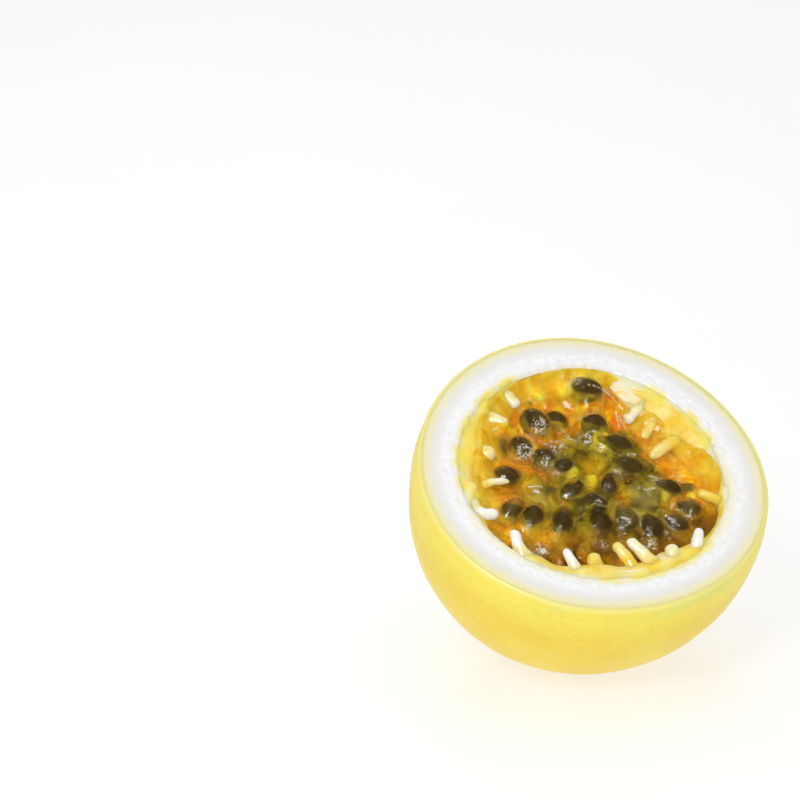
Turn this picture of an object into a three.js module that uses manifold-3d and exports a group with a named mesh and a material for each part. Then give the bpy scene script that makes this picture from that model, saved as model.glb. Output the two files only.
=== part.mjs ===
// A passion fruit half, cut across its axis and lying on its round side, in millimetres.
// +Z is up, the origin is the centre of the small flat spot that the half rests on,
// and the cut face leans towards -Y. It is three solids:
//   rind    the yellow peel and the thick white pith under it
//   lining  the soft skin of the cavity, with the stubby seed stalks that grow from it
//   pulp    the juicy filling, with the sacs that hold the seeds standing out of it
//
// Shapes are worked out in the fruit's own frame. Its origin is the centre of the cut
// face, +Z there is the fruit's axis, out of the cut, and +Y is up the slope of the face.

import * as THREE from "three";
import { mergeVertices } from "three/addons/utils/BufferGeometryUtils.js";
import Module from "manifold-3d";

// The fruit
const BODY_RADIUS = 34.3; // at its widest section
const BODY_LENGTH = 35.8; // from the widest section to the closed end
const CUT_HEIGHT = 6.3; // of the cut above the widest section
const WALL_SIDE = 8.0; // rind at the widest section
const WALL_END = 8.8; // rind at the closed end
const CARPELS = 3; // the fruit is faintly three-sided
const LOBE_DEPTH = 0.012; // share of the radius
const LOBE_TURN = THREE.MathUtils.degToRad(90); // one lobe points up the slope

// How it lies
const FACE_TILT = THREE.MathUtils.degToRad(30);
const REST_RADIUS = 8; // of the flat spot

// The lining is thick along three bands that carry the stalks. A band's turn is the
// middle of it and its spread the width, both round the fruit's axis. It thickens by its
// slope for each millimetre of depth under the cut.
const LINING_THIN = 0.9;
const BAND_THICK = 2.2; // added in the middle of a band, at the cut
const BAND_DEPTH = 5; // where it stops thickening
const BAND_FADE = 0.37; // share of its spread where a band has thinned by two thirds
const BANDS = [
  { turn: THREE.MathUtils.degToRad(30), spread: THREE.MathUtils.degToRad(60), slope: 0.7, stalks: 4 },
  { turn: THREE.MathUtils.degToRad(163), spread: THREE.MathUtils.degToRad(76), slope: 0.5, stalks: 5 },
  { turn: THREE.MathUtils.degToRad(270), spread: THREE.MathUtils.degToRad(118), slope: 0.25, stalks: 8 },
];
const STALK_LENGTH = 4.4;
const STALK_UNEVEN = { from: 0.7, to: 1.1 }; // share of that length
const STALK_RADIUS = 0.9;
const STALK_ROOT = 1.0; // sunk in the lining
const STALK_DEPTH = { from: 1.6, to: 3.2 }; // of its root under the cut
const STALK_LEAN = 0.5; // most that it turns aside, in radians
const STALK_RISE = { from: 0.1, to: 0.6 }; // how steeply it points out of the cut

// The pulp
const GAP = 0.3; // kept between one solid and the next
const BED_EDGE = -3.6; // of the pulp's top at the wall, from the cut
const BED_CROWN = -2.2; // and in the middle
const SWELLS = [
  { x: 6, y: 22, reach: 8, rise: 2.2 }, // heaped against the upper wall
  { x: 17, y: 7, reach: 7, rise: -2.4 }, // drained beside one band
  { x: 21, y: -13, reach: 4, rise: -1.4 }, // and at the low side
];
const CLIMB = { height: 1.7, reach: 2.4 }; // of the pulp up the wall, but for the low side
const CLIMB_LEVEL = -3.5; // where the wall is measured for it
const LOW_SIDE = { from: -0.3, to: -0.7 }; // y over distance from the axis

// The seeds hang in short strings, each seed in its own sac of juice. A string is
// given by where its first and last seed lie in the cut face.
const STRINGS = [
  { from: [8.8, 2.6], to: [5.0, 22.4], seeds: 4 },
  { from: [-2.1, 16.0], to: [-6.6, 15.1], seeds: 2 },
  { from: [-4.2, 3.8], to: [-10.7, 10.6], seeds: 3 },
  { from: [-15.5, 3.5], to: [-16.5, -4.0], seeds: 2 },
  { from: [-13.2, -6.8], to: [14.6, -12.6], seeds: 6 },
  { from: [17.9, -8.4], to: [14.9, -3.6], seeds: 2 },
  { from: [-0.9, -5.5], to: [3.0, -2.2], seeds: 2 },
];
const SAC_LONG = 4.7; // half axes of a sac
const SAC_WIDE = 3.0;
const SAC_HIGH = 2.8;
const SAC_UNEVEN = { from: 0.85, to: 1.05 }; // share of that size
const SAC_PITCH = 0.2; // most that a sac tips, in radians
const SAC_TURN = 0.6; // most that it turns away from the middle of the fruit
const SAC_SINK = 1.1; // of a sac's middle under the bed's top
const SAC_LIFT = 0.5; // and how much that varies

// Sacs whose seeds lie too deep to show fill the rest.
const SPIRAL_COUNT = 42;
const SPIRAL_SPREAD = 21.5; // from the axis to the outermost sac
const SPIRAL_CLEAR = 5.2; // kept from the sacs of the strings
const SPIRAL_FLOOR = -4.4; // none lie where the bed is lower

// Facets
const BODY_SIDES = 48;
const LINING_SIDES = 36;
const PULP_SIDES = 36;
const STALK_SIDES = 6;
const SAC_SIDES = 8;
const RINGS_PER_SIDE = 0.42; // rings of facets on an egg for each of its sides

// One number for each thing that varies, so that no two vary alike
const DRAW = {
  stalkPlace: 351,
  stalkDepth: 2,
  stalkLean: 3,
  stalkRise: 4,
  stalkLength: 5,
  sacSize: 13,
  sacPitch: 14,
  sacTurn: 15,
  sacLift: 16,
};

const GOLDEN_ANGLE = Math.PI * (3 - Math.sqrt(5));
const BIG = 200; // wider than the fruit, for cutting blocks

const wasm = await Module();
wasm.setup();

// A number from 0 to 1 that is always the same for the same index and draw.
function vary(index, draw) {
  const wave = Math.sin(index * 127.1 + draw * 311.7) * 43758.5453;
  return wave - Math.floor(wave);
}

// The same, from -1 to 1.
function sway(index, draw) {
  return 2 * vary(index, draw) - 1;
}

// The same, within a range.
function within(range, index, draw) {
  return THREE.MathUtils.lerp(range.from, range.to, vary(index, draw));
}

function solidOf(geometry) {
  const bare = geometry.clone();
  bare.deleteAttribute("normal");
  bare.deleteAttribute("uv");
  const merged = mergeVertices(bare, 1e-4);
  return new wasm.Manifold(
    new wasm.Mesh({
      numProp: 3,
      vertProperties: merged.attributes.position.array,
      triVerts: new Uint32Array(merged.index.array),
    }),
  );
}

function geometryOf(solid) {
  const mesh = solid.getMesh();
  const geometry = new THREE.BufferGeometry();
  geometry.setAttribute("position", new THREE.BufferAttribute(mesh.vertProperties, 3));
  geometry.setIndex(new THREE.BufferAttribute(mesh.triVerts, 1));
  return geometry;
}

// The wall's radius grows and shrinks by this share round the fruit.
function lobe(angle) {
  return LOBE_DEPTH * Math.cos(CARPELS * (angle - LOBE_TURN));
}

// What the bands add to the lining at an angle round the axis and a depth under the cut.
function bandThickness(angle, depth) {
  let most = 0;
  for (const { turn, spread, slope } of BANDS) {
    const off = Math.atan2(Math.sin(angle - turn), Math.cos(angle - turn));
    const fade = Math.exp(-((off / (BAND_FADE * spread)) ** 4));
    most = Math.max(most, fade * (BAND_THICK + slope * depth));
  }
  return most;
}

// An egg about the fruit's axis, centred on the widest section. inset takes millimetres
// off its radius, as a function of the angle round the axis and the height over the cut.
function egg(radius, length, sides, inset = () => 0) {
  const geometry = new THREE.SphereGeometry(1, sides, Math.round(sides * RINGS_PER_SIDE));
  geometry.rotateX(Math.PI / 2);
  const place = geometry.attributes.position;
  for (let i = 0; i < place.count; i++) {
    const x = place.getX(i);
    const y = place.getY(i);
    const out = Math.hypot(x, y);
    const angle = Math.atan2(y, x);
    const height = place.getZ(i) * length - CUT_HEIGHT;
    const wide = radius * (1 + lobe(angle) * out) - inset(angle, height) * out;
    place.setXYZ(i, x * wide, y * wide, height);
  }
  return solidOf(geometry);
}

// A block that fills everything above the given height in the fruit's frame.
function blockAbove(height) {
  const geometry = new THREE.BoxGeometry(BIG, BIG, BIG);
  geometry.translate(0, 0, height + BIG / 2);
  return solidOf(geometry);
}

const cavityRadius = BODY_RADIUS - WALL_SIDE;
const cavityLength = BODY_LENGTH - WALL_END;

function liningInset(angle, height) {
  const depth = THREE.MathUtils.clamp(-height, 0, BAND_DEPTH);
  return LINING_THIN + bandThickness(angle, depth);
}

// The space inside the lining, less a margin all round.
function hollow(margin, sides) {
  return egg(cavityRadius, cavityLength - LINING_THIN - margin, sides, (angle, height) => {
    return liningInset(angle, height) + margin;
  });
}

// The lining's inner face at a height under the cut, as a distance from the axis.
function hollowRadius(angle, height) {
  const share = (height + CUT_HEIGHT) / (cavityLength - LINING_THIN);
  const out = Math.sqrt(1 - share * share);
  return out * (cavityRadius * (1 + lobe(angle) * out) - liningInset(angle, height) * out);
}

function makeRind() {
  return egg(BODY_RADIUS, BODY_LENGTH, BODY_SIDES)
    .subtract(egg(cavityRadius, cavityLength, BODY_SIDES))
    .subtract(blockAbove(0));
}

// One stalk: a blunt stub along +Z, its root under the origin.
function stalkShape(swell) {
  const profile = [
    new THREE.Vector2(0, -STALK_ROOT - swell),
    new THREE.Vector2(STALK_RADIUS * 1.2 + swell, -STALK_ROOT - swell),
    new THREE.Vector2(STALK_RADIUS * 0.9 + swell, STALK_LENGTH * 0.5),
    new THREE.Vector2(STALK_RADIUS * 0.8 + swell, STALK_LENGTH * 0.88),
    new THREE.Vector2(0, STALK_LENGTH + swell),
  ];
  const geometry = new THREE.LatheGeometry(profile, STALK_SIDES);
  geometry.rotateX(Math.PI / 2);
  return geometry;
}

// Where the stalk grows that stands at this angle, which way it points and how long
// it is.
function stalkMatrix(angle, id) {
  const height = -within(STALK_DEPTH, id, DRAW.stalkDepth);
  const radius = hollowRadius(angle, height);
  const root = new THREE.Vector3(radius * Math.cos(angle), radius * Math.sin(angle), height);
  const lean = angle + Math.PI + STALK_LEAN * sway(id, DRAW.stalkLean);
  const rise = within(STALK_RISE, id, DRAW.stalkRise);
  const way = new THREE.Vector3(
    Math.cos(lean) * Math.cos(rise),
    Math.sin(lean) * Math.cos(rise),
    Math.sin(rise),
  );
  const turn = new THREE.Quaternion().setFromUnitVectors(new THREE.Vector3(0, 0, 1), way);
  const size = new THREE.Vector3(1, 1, within(STALK_UNEVEN, id, DRAW.stalkLength));
  return new THREE.Matrix4().compose(root, turn, size);
}

function stalks(swell) {
  const made = [];
  for (const { turn, spread, stalks: count } of BANDS) {
    for (let index = 0; index < count; index++) {
      const id = made.length;
      const across = (index + 0.5 + 0.5 * sway(id, DRAW.stalkPlace)) / count - 0.5;
      const place = stalkMatrix(turn + across * spread, id);
      made.push(solidOf(stalkShape(swell).applyMatrix4(place)));
    }
  }
  return wasm.Manifold.union(made);
}

function makeLining() {
  const outside = egg(cavityRadius - GAP, cavityLength - GAP, LINING_SIDES);
  return outside
    .subtract(hollow(0, LINING_SIDES))
    .add(stalks(0).intersect(outside))
    .subtract(blockAbove(0));
}

// Height of the pulp's top in the fruit's frame.
function bedTop(x, y) {
  const share = Math.min(1, Math.hypot(x, y) / (cavityRadius - LINING_THIN));
  let top = BED_CROWN + (BED_EDGE - BED_CROWN) * share * share;
  for (const swell of SWELLS) {
    const away = Math.hypot(x - swell.x, y - swell.y) / swell.reach;
    top += swell.rise * Math.exp(-away * away);
  }
  return top + climb(x, y);
}

// How far the pulp climbs the wall.
function climb(x, y) {
  const angle = Math.atan2(y, x);
  const away = Math.max(0, hollowRadius(angle, CLIMB_LEVEL) - Math.hypot(x, y)) / CLIMB.reach;
  const low = THREE.MathUtils.smoothstep(-Math.sin(angle), -LOW_SIDE.from, -LOW_SIDE.to);
  return CLIMB.height * Math.exp(-away * away) * (1 - low);
}

// Everything under the pulp's top: a lathed slab whose upper face follows bedTop.
function bed() {
  const steps = 12;
  const rim = cavityRadius + GAP;
  const profile = [new THREE.Vector2(0, -BIG / 2), new THREE.Vector2(rim, -BIG / 2)];
  for (let step = steps; step >= 0; step--) {
    profile.push(new THREE.Vector2((rim * step) / steps, 0));
  }
  const geometry = new THREE.LatheGeometry(profile, PULP_SIDES);
  geometry.rotateX(Math.PI / 2);
  const place = geometry.attributes.position;
  for (let i = 0; i < place.count; i++) {
    if (place.getZ(i) > -1) place.setZ(i, bedTop(place.getX(i), place.getY(i)));
  }
  return solidOf(geometry);
}

function stringPlaces() {
  const places = [];
  for (const { from, to, seeds } of STRINGS) {
    for (let k = 0; k < seeds; k++) {
      const t = k / (seeds - 1);
      places.push([from[0] + (to[0] - from[0]) * t, from[1] + (to[1] - from[1]) * t]);
    }
  }
  return places;
}

// Places on a sunflower spiral that keep clear of the strings.
function spiralPlaces(taken) {
  const places = [];
  for (let i = 0; i < SPIRAL_COUNT; i++) {
    const out = SPIRAL_SPREAD * Math.sqrt((i + 0.5) / SPIRAL_COUNT);
    const x = out * Math.cos(i * GOLDEN_ANGLE);
    const y = out * Math.sin(i * GOLDEN_ANGLE);
    const clear = taken.every(([a, b]) => Math.hypot(x - a, y - b) > SPIRAL_CLEAR);
    if (clear && bedTop(x, y) > SPIRAL_FLOOR) places.push([x, y]);
  }
  return places;
}

function sac([x, y], index) {
  const shape = new THREE.SphereGeometry(1, SAC_SIDES, SAC_SIDES - 3);
  const size = within(SAC_UNEVEN, index, DRAW.sacSize);
  const lift = SAC_LIFT * sway(index, DRAW.sacLift);
  shape.scale(SAC_LONG * size, SAC_WIDE * size, SAC_HIGH * size);
  shape.rotateY(SAC_PITCH * sway(index, DRAW.sacPitch));
  shape.rotateZ(Math.atan2(-y, -x) + SAC_TURN * sway(index, DRAW.sacTurn));
  shape.translate(x, y, bedTop(x, y) - SAC_SINK + lift);
  return solidOf(shape);
}

function makePulp() {
  const strung = stringPlaces();
  const places = [...strung, ...spiralPlaces(strung)];
  const heap = bed().add(wasm.Manifold.union(places.map(sac)));
  return heap.intersect(hollow(GAP, PULP_SIDES)).subtract(stalks(GAP));
}

// From the fruit's frame to the table: leant over and set down on the flat spot.
function layDown() {
  const sine = Math.sin(FACE_TILT);
  const cosine = Math.cos(FACE_TILT);
  const reach = Math.hypot(BODY_RADIUS * sine, BODY_LENGTH * cosine);
  const back = ((BODY_LENGTH ** 2 - BODY_RADIUS ** 2) * sine * cosine) / reach;
  const flat = REST_RADIUS ** 2 / (2 * reach); // how much the flat spot takes off
  return new THREE.Matrix4()
    .makeTranslation(0, -back, reach - flat)
    .multiply(new THREE.Matrix4().makeRotationX(FACE_TILT))
    .multiply(new THREE.Matrix4().makeTranslation(0, 0, CUT_HEIGHT));
}

function floorBlock() {
  const geometry = new THREE.BoxGeometry(BIG, BIG, BIG);
  geometry.translate(0, 0, -BIG / 2);
  return solidOf(geometry);
}

// Lays a solid of the fruit's frame down on the table and trims it flat there.
function settled(solid) {
  return solidOf(geometryOf(solid).applyMatrix4(layDown())).subtract(floorBlock());
}

function piece(name, solid, color, roughness) {
  const material = new THREE.MeshStandardMaterial({ color, roughness, metalness: 0 });
  const mesh = new THREE.Mesh(geometryOf(settled(solid)), material);
  mesh.name = name;
  return mesh;
}

const half = new THREE.Group();
half.add(piece("rind", makeRind(), 0xf6d84f, 0.45));
half.add(piece("lining", makeLining(), 0xf7e3a1, 0.4));
half.add(piece("pulp", makePulp(), 0x9a7a22, 0.2));

export default half;
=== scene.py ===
"""Passion fruit half: the looks of the cut fruit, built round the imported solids.

Shapes are worked out in millimetres in the fruit's own frame, whose origin is the centre
of the cut face, +Z its axis out of the cut, and +Y up the slope of the face. They are then
laid down on the table in metres.
"""

import math

import bmesh
import bpy
import numpy as np
from bpy.props import FloatProperty, FloatVectorProperty, IntProperty, PointerProperty
from mathutils import Matrix, Vector


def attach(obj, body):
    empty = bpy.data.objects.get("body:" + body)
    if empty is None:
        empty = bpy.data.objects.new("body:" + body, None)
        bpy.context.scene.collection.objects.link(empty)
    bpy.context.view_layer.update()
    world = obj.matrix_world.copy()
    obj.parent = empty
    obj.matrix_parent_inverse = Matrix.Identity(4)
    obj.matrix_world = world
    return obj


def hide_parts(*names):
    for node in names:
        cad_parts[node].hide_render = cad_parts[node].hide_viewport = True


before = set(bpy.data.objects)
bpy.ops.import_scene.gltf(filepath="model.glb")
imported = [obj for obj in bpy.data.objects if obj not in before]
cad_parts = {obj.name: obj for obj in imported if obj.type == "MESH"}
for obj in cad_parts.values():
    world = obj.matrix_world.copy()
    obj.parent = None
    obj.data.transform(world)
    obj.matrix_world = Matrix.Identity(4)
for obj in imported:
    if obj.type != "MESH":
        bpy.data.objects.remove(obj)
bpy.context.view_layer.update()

bl_info = {
    "name": "Passion Fruit Half",
    "version": (1, 0, 0),
    "blender": (4, 5, 0),
    "location": "3D View > Sidebar > Fruit",
    "description": "Builds a cut passion fruit half: peel, pith, lining, stalks, seeds and jelly",
    "category": "Add Mesh",
}

MM = 0.001
GOLDEN_ANGLE = math.pi * (3 - math.sqrt(5))

# Three bands of the lining that carry the seed stalks: the middle of each and its width
# round the fruit's axis, in degrees, how much thicker it gets per mm of depth, and how
# sharply it ends
BANDS = ((32, 64, 0.7, 3.0), (163, 76, 0.5, 2.2), (270, 118, 0.25, 4.0))
BAND_FADE = 0.37

# The seeds that show: where each lies in the cut face, the ways its long axis and its sac
# point, in degrees, how deep it lies in the pulp, how far it is rolled on edge, in degrees, and
# its share of the usual size
ARILS = (
    (4.7, 20.2, -20, -100, 0.0, 30, 1.25),
    (-6.9, 14.8, -62, -70, 0.1, 30, 1.22),
    (-2.3, 15.5, -35, -80, 0.9, 30, 0.9),
    (4.8, 13.5, -15, -120, 0.7, 30, 0.95),
    (-11.1, 9.8, -65, -40, 0.5, 10, 0.95),
    (8.2, 7.8, -22, 168, 0.3, 35, 1.02),
    (-7.5, 6.0, -40, -50, 0.2, 40, 0.85),
    (-4.5, 3.3, 30, -30, 0.2, 10, 0.85),
    (8.5, 1.9, -14, -170, 0.5, 5, 1.08),
    (-15.7, 3.2, -25, -10, 0.3, 0, 1.0),
    (14.7, -3.9, -18, 170, 0.4, 50, 1.05),
    (3.2, -2.2, 70, 60, 0.7, 30, 0.9),
    (-4.4, -2.4, 20, 40, 1.1, 20, 0.9),
    (-1.0, -5.9, -12, 80, 0.3, 50, 1.0),
    (-16.8, -4.7, 15, 20, 1.2, 0, 0.95),
    (-13.4, -7.2, 60, 42, 0.8, 0, 1.0),
    (-8.3, -9.4, 75, 62, 0.9, 0, 1.0),
    (-1.2, -10.6, 88, 84, 1.1, 0, 1.05),
    (4.1, -10.6, 98, 100, 0.7, 5, 1.1),
    (8.6, -13.0, 100, 108, 0.6, 0, 1.05),
    (13.9, -12.1, 128, 132, 1.0, 0, 1.0),
    (17.2, -8.9, 155, 150, 0.6, 20, 1.0),
)

# The seed stalks that show: where each leaves the lining, the point it bends towards, where
# it ends, its share of the usual thickness, and how yellow it is
STALKS = (
    ((-16.6, -18.2, -3.2), (-19.6, -15.6, -0.6), (-18.9, -11.9, 0.1), 1.4, 0.05),
    ((-8.2, -23.0, -3.4), (-9.4, -21.2, -0.4), (-10.7, -17.5, -0.2), 1.15, 0.0),
    ((-4.6, -22.8, -4.0), (-5.1, -20.8, -1.9), (-4.9, -17.9, -2.1), 1.75, 0.9),
    ((2.4, -23.6, -3.6), (1.4, -21.4, -0.4), (-0.7, -17.2, -0.3), 1.4, 0.8),
    ((7.0, -23.4, -3.6), (5.0, -21.6, 0.1), (2.0, -17.0, -0.2), 1.5, 0.3),
    ((9.4, -23.4, -3.6), (9.8, -21.8, -0.9), (10.1, -19.1, -0.5), 1.7, 0.5),
    ((14.4, -21.4, -3.8), (15.0, -20.6, -0.2), (16.2, -16.5, 0.3), 1.4, 0.0),
    ((24.4, -8.8, -3.0), (22.8, -9.6, -0.5), (19.2, -7.2, -0.8), 1.2, 0.95),
    ((-23.4, 0.2, -3.4), (-20.4, 1.8, -0.8), (-16.2, 0.6, -1.3), 0.85, 0.3),
    ((-24.8, -1.2, -2.9), (-25.2, -7.4, -0.9), (-20.4, -6.6, -1.2), 1.45, 0.0),
    ((-11.8, 24.4, -2.2), (-10.6, 22.4, -1.9), (-9.0, 19.4, -2.8), 1.45, 0.4),
    ((-16.6, 18.4, -4.0), (-15.2, 17.2, -1.9), (-12.6, 14.6, -2.1), 1.7, 0.35),
    ((-21.4, 10.0, -4.4), (-20.2, 9.4, -2.3), (-16.9, 7.9, -2.2), 2.2, 0.7),
    ((18.2, 18.6, -2.4), (14.6, 16.2, -1.8), (11.4, 13.1, -2.8), 1.25, 0.3),
    ((20.0, 14.8, -3.0), (16.6, 12.6, -2.7), (13.6, 9.3, -3.8), 1.25, 0.8),
    ((22.6, 8.8, -4.4), (18.8, 7.6, -2.3), (13.6, 4.2, -3.7), 1.5, 0.75),
)

# Where the lining is thick and whitish: x, y and reach
WHITE_FLESH = (
    (12.0, 21.5, 6.0), (-24.5, 3.0, 3.5), (25.5, 1.0, 4.0), (0.6, -23.6, 2.2), (8.6, -22.4, 2.0),
)

# Where the lining swells into a thick cushion: the middle, its reach and how far it swells
CUSHIONS = (((12.5, 20.5, -1.8), 5.0, 2.6),)

# Where the juice is painted a dark brown shade, by the low side of the lining: x, y and reach
PAINTED_SHADE_SPOTS = (
    (20.4, -12.4, 4.2), (17.5, -16.5, 3.6), (12.5, -18.5, 3.0), (-1.8, -16.6, 2.6),
    (-8.5, -19.0, 2.6), (-14.0, -17.4, 2.4), (-18.5, -13.8, 2.2), (-21.6, -9.6, 2.2),
    (-22.6, -4.4, 2.0),
)

# Where the olive juice turns golden: x, y and reach
GOLD_SPOTS = (
    (-6.6, -3.7, 2.6), (-11.6, -3.0, 2.6), (-12.7, 1.3, 2.2), (-14.6, -10.0, 2.4),
    (-8.2, -13.5, 2.8), (-4.1, -12.2, 1.6), (1.2, 3.7, 2.5), (3.5, -14.2, 1.8), (-3.2, 10.6, 2.6),
    (6.0, -5.0, 2.0),
)

# Where the juice looks deep and dark between the sacs: x, y and reach
DEEP_SPOTS = (
    (-6.7, 7.2, 1.5), (-3.5, -0.6, 1.6), (3.0, -1.5, 1.6), (-1.0, -8.4, 1.5), (-2.2, -16.0, 1.6),
    (0.6, -11.6, 1.3), (-6.8, -15.4, 1.2), (-14.8, 10.8, 1.8), (7.0, -6.6, 1.4),
)

# Streaks of deep orange between the sacs: the points each runs through
RUST_THREADS = (
    ((-16.0, 7.0), (-12.2, 5.7), (-8.0, 2.6), (-6.6, 1.2)),
    ((-9.4, 12.4), (-8.4, 9.6), (-7.6, 6.4)), ((2.6, -0.2), (4.3, -3.4), (5.0, -5.6)),
    ((4.0, -17.6), (6.4, -18.7), (9.0, -18.0)), ((-20.6, 4.4), (-17.0, 5.6)),
)

# Threads and curls of orange-red flesh: the points each runs through
RED_THREADS = (
    ((3.0, 18.3), (8.3, 17.6), (11.6, 17.6), (13.0, 16.2)),
    ((9.3, 12.6), (10.4, 15.4), (11.6, 15.0), (10.8, 13.4)), ((8.2, 0.2), (10.6, 1.6)),
)

# Edges of sacs where the jelly glows yellow: the points each runs through
YELLOW_THREADS = (
    ((6.2, 10.4), (3.9, 10.1), (3.4, 8.0), (4.4, 6.2)), ((-9.6, 9.9), (-9.0, 8.4)),
)

# Where the jelly is a clear strong yellow: x, y and reach
YELLOW_SPOTS = (
    (13.2, -6.2, 1.2), (-9.4, 9.8, 1.1), (-3.4, 0.4, 1.3), (13.0, 22.5, 2.6), (0.8, 21.4, 1.8),
    (-4.5, 21.8, 2.0), (18.6, -6.4, 1.2),
)

# Where the jelly's skin is crumpled, catches the light and has painted glints in white flecks: x, y and
# reach
CRUMPLES_WITH_PAINTED_GLINTS = (
    (2.6, 21.8, 1.3), (-6.7, 13.0, 1.5), (-11.0, 7.8, 1.8), (-4.6, 8.2, 1.4), (1.8, 9.4, 1.6),
    (-1.5, 9.8, 1.4), (3.8, 6.0, 1.0), (-7.9, 4.4, 0.9), (5.3, -0.4, 1.2), (-0.6, -7.4, 1.1),
    (-11.0, -1.2, 0.9), (3.9, -11.8, 0.7), (11.2, -14.9, 0.9), (16.8, -10.9, 0.9),
    (-1.6, -15.5, 0.9), (-13.9, -15.0, 1.5), (7.4, -16.7, 1.2), (12.8, -1.7, 1.0),
)

# Where the lining is soaked deep amber: x, y and reach
SOAKED_SPOTS = (
    (19.2, 10.6, 3.0), (21.0, 7.4, 2.6), (20.6, 3.0, 2.4), (-18.0, 6.4, 3.0), (-11.0, 20.0, 3.0),
    (5.4, -25.6, 1.5), (10.6, -24.0, 1.8), (14.6, -21.6, 1.8),
)

# Thin strokes of painted highlight in white flecks along folds of the jelly: the points each runs through
PAINTED_GLINT_THREADS = (
    ((9.8, 15.5), (9.6, 12.6), (10.1, 11.0)), ((10.4, 14.9), (10.4, 13.1), (10.9, 11.4)),
    ((11.6, 14.9), (10.9, 14.1), (11.0, 13.0)),
    ((4.6, 19.6), (7.5, 19.2), (9.7, 18.4), (11.4, 16.3)), ((7.2, -2.2), (9.1, -3.5), (10.7, -5.0)),
    ((-12.3, -0.2), (-9.3, -0.4)), ((-2.1, -4.5), (1.2, -5.8)), ((-0.8, -7.5), (1.3, -8.0)),
    ((2.6, -10.9), (4.1, -11.7)), ((4.8, 5.7), (8.0, 5.1), (11.3, 5.2)), ((-4.4, 9.6), (-2.0, 9.0)),
    ((-6.4, 9.4), (-4.9, 7.8)), ((5.4, 1.7), (6.0, -0.5)), ((4.6, 22.7), (2.5, 21.8)),
    ((-6.3, 13.9), (-7.8, 12.0)), ((-12.3, 9.0), (-9.7, 8.0)), ((3.8, 10.5), (1.7, 10.3)),
    ((11.4, -0.3), (14.3, -1.2)), ((5.4, -16.0), (7.9, -16.6)),
)

# Where a full sac looks pale and cloudy: x, y and reach
CLOUDY_SPOTS = (
    (9.0, -5.6, 2.6), (-10.6, -3.6, 2.0), (4.3, -10.5, 2.2), (14.2, -11.6, 1.3), (17.6, -8.4, 1.5),
    (-16.6, -4.4, 1.6),
)

# Where the edge of the lining is a strong clear yellow: x, y and reach
YOLK_SPOTS = (
    (17.4, 18.2, 1.7), (18.8, 16.4, 1.7), (23.8, 10.4, 2.2), (24.6, 5.4, 2.2), (-24.6, 7.0, 3.6),
    (-21.4, 14.0, 4.0), (-15.6, 20.6, 4.0), (-10.6, 24.0, 2.6), (-25.6, 0.8, 2.0),
    (-4.0, -26.2, 2.2), (1.8, -26.6, 2.6), (5.6, -26.2, 2.8), (9.4, -24.8, 2.8), (12.8, -23.0, 2.6),
    (16.2, -20.6, 2.4),
)

# A bead of clear yellow jelly: its middle, its half width and half length, and how far it
# stands out
BEAD = (0.0, -0.8, 1.15, 1.6, 0.7)

# Where the sacs lie smooth and full: x, y and reach
FULL_SACS = ((-13.0, -4.5, 5.5), (-8.0, -7.0, 5.5), (9.0, -9.0, 6.5))

# Deep sacs that hold no seed
EMPTY_SACS = ((3.8, 4.9),)

# Where the pulp is heaped up, or has drained away: x, y, reach and rise
SWELLS = ((6, 22, 8, 2.2), (17, 7, 7, -2.4), (21, -13, 4, -1.4), (14.5, 19, 4.5, -1.8))

# One number for each thing that varies, so that no two vary alike
DRAW = {
    "sac_size": 13,
    "sac_turn": 15,
    "sac_lift": 16,
    "sac_tone": 17,
    "seed_turn": 21,
    "seed_tip": 22,
    "seed_size": 23,
}


# ---------------------------------------------------------------- properties


def length_property(name, description, millimetres):
    return FloatProperty(name=name, description=description, default=millimetres * MM, unit="LENGTH")


def angle_property(name, description, degrees):
    return FloatProperty(name=name, description=description, default=math.radians(degrees), subtype="ANGLE")


def colour_property(name, description, value):
    return FloatVectorProperty(
        name=name, description=description, default=value, size=3, subtype="COLOR", min=0, max=1
    )


class FruitSizes(bpy.types.PropertyGroup):
    """Real sizes of the fruit and of what fills it."""

    body_radius: length_property("Body radius", "At the widest section", 34.3)
    body_length: length_property("Body length", "From the widest section to the closed end", 35.8)
    cut_height: length_property("Cut height", "Of the cut above the widest section", 6.3)
    wall_side: length_property("Wall at the side", "Peel and pith together", 8.0)
    wall_end: length_property("Wall at the end", "Peel and pith together", 8.8)
    peel: length_property("Peel", "Thickness of the yellow peel", 0.8)
    lining: length_property("Lining", "Thickness of the lining between bands", 0.9)
    band: length_property("Band", "What a band adds to the lining", 2.2)
    tilt: angle_property("Tilt", "Lean of the fruit's axis", 30)
    rest_radius: length_property("Flat spot", "Radius of the spot it rests on", 8)
    seed_length: length_property("Seed length", "Of an ordinary seed", 5.5)
    stalk_radius: length_property("Stalk radius", "Of an ordinary seed stalk", 0.9)


class FruitColours(bpy.types.PropertyGroup):
    """Base colours of the fruit, as linear values."""

    peel: colour_property("Peel", "Yellow of the skin", (0.87, 0.625, 0.052))
    peel_pale: colour_property("Pale peel", "Lighter clouds in the skin", (0.9, 0.69, 0.085))
    pith: colour_property("Pith", "White of the wall", (0.9, 0.885, 0.87))
    cream: colour_property("Cream", "Paler parts of the lining", (1.0, 0.75, 0.2))
    amber: colour_property("Amber", "Thick juice near the wall", (1.0, 0.72, 0.1))
    seed: colour_property("Seed", "Dark brown of the seeds", (0.022, 0.014, 0.011))


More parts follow.
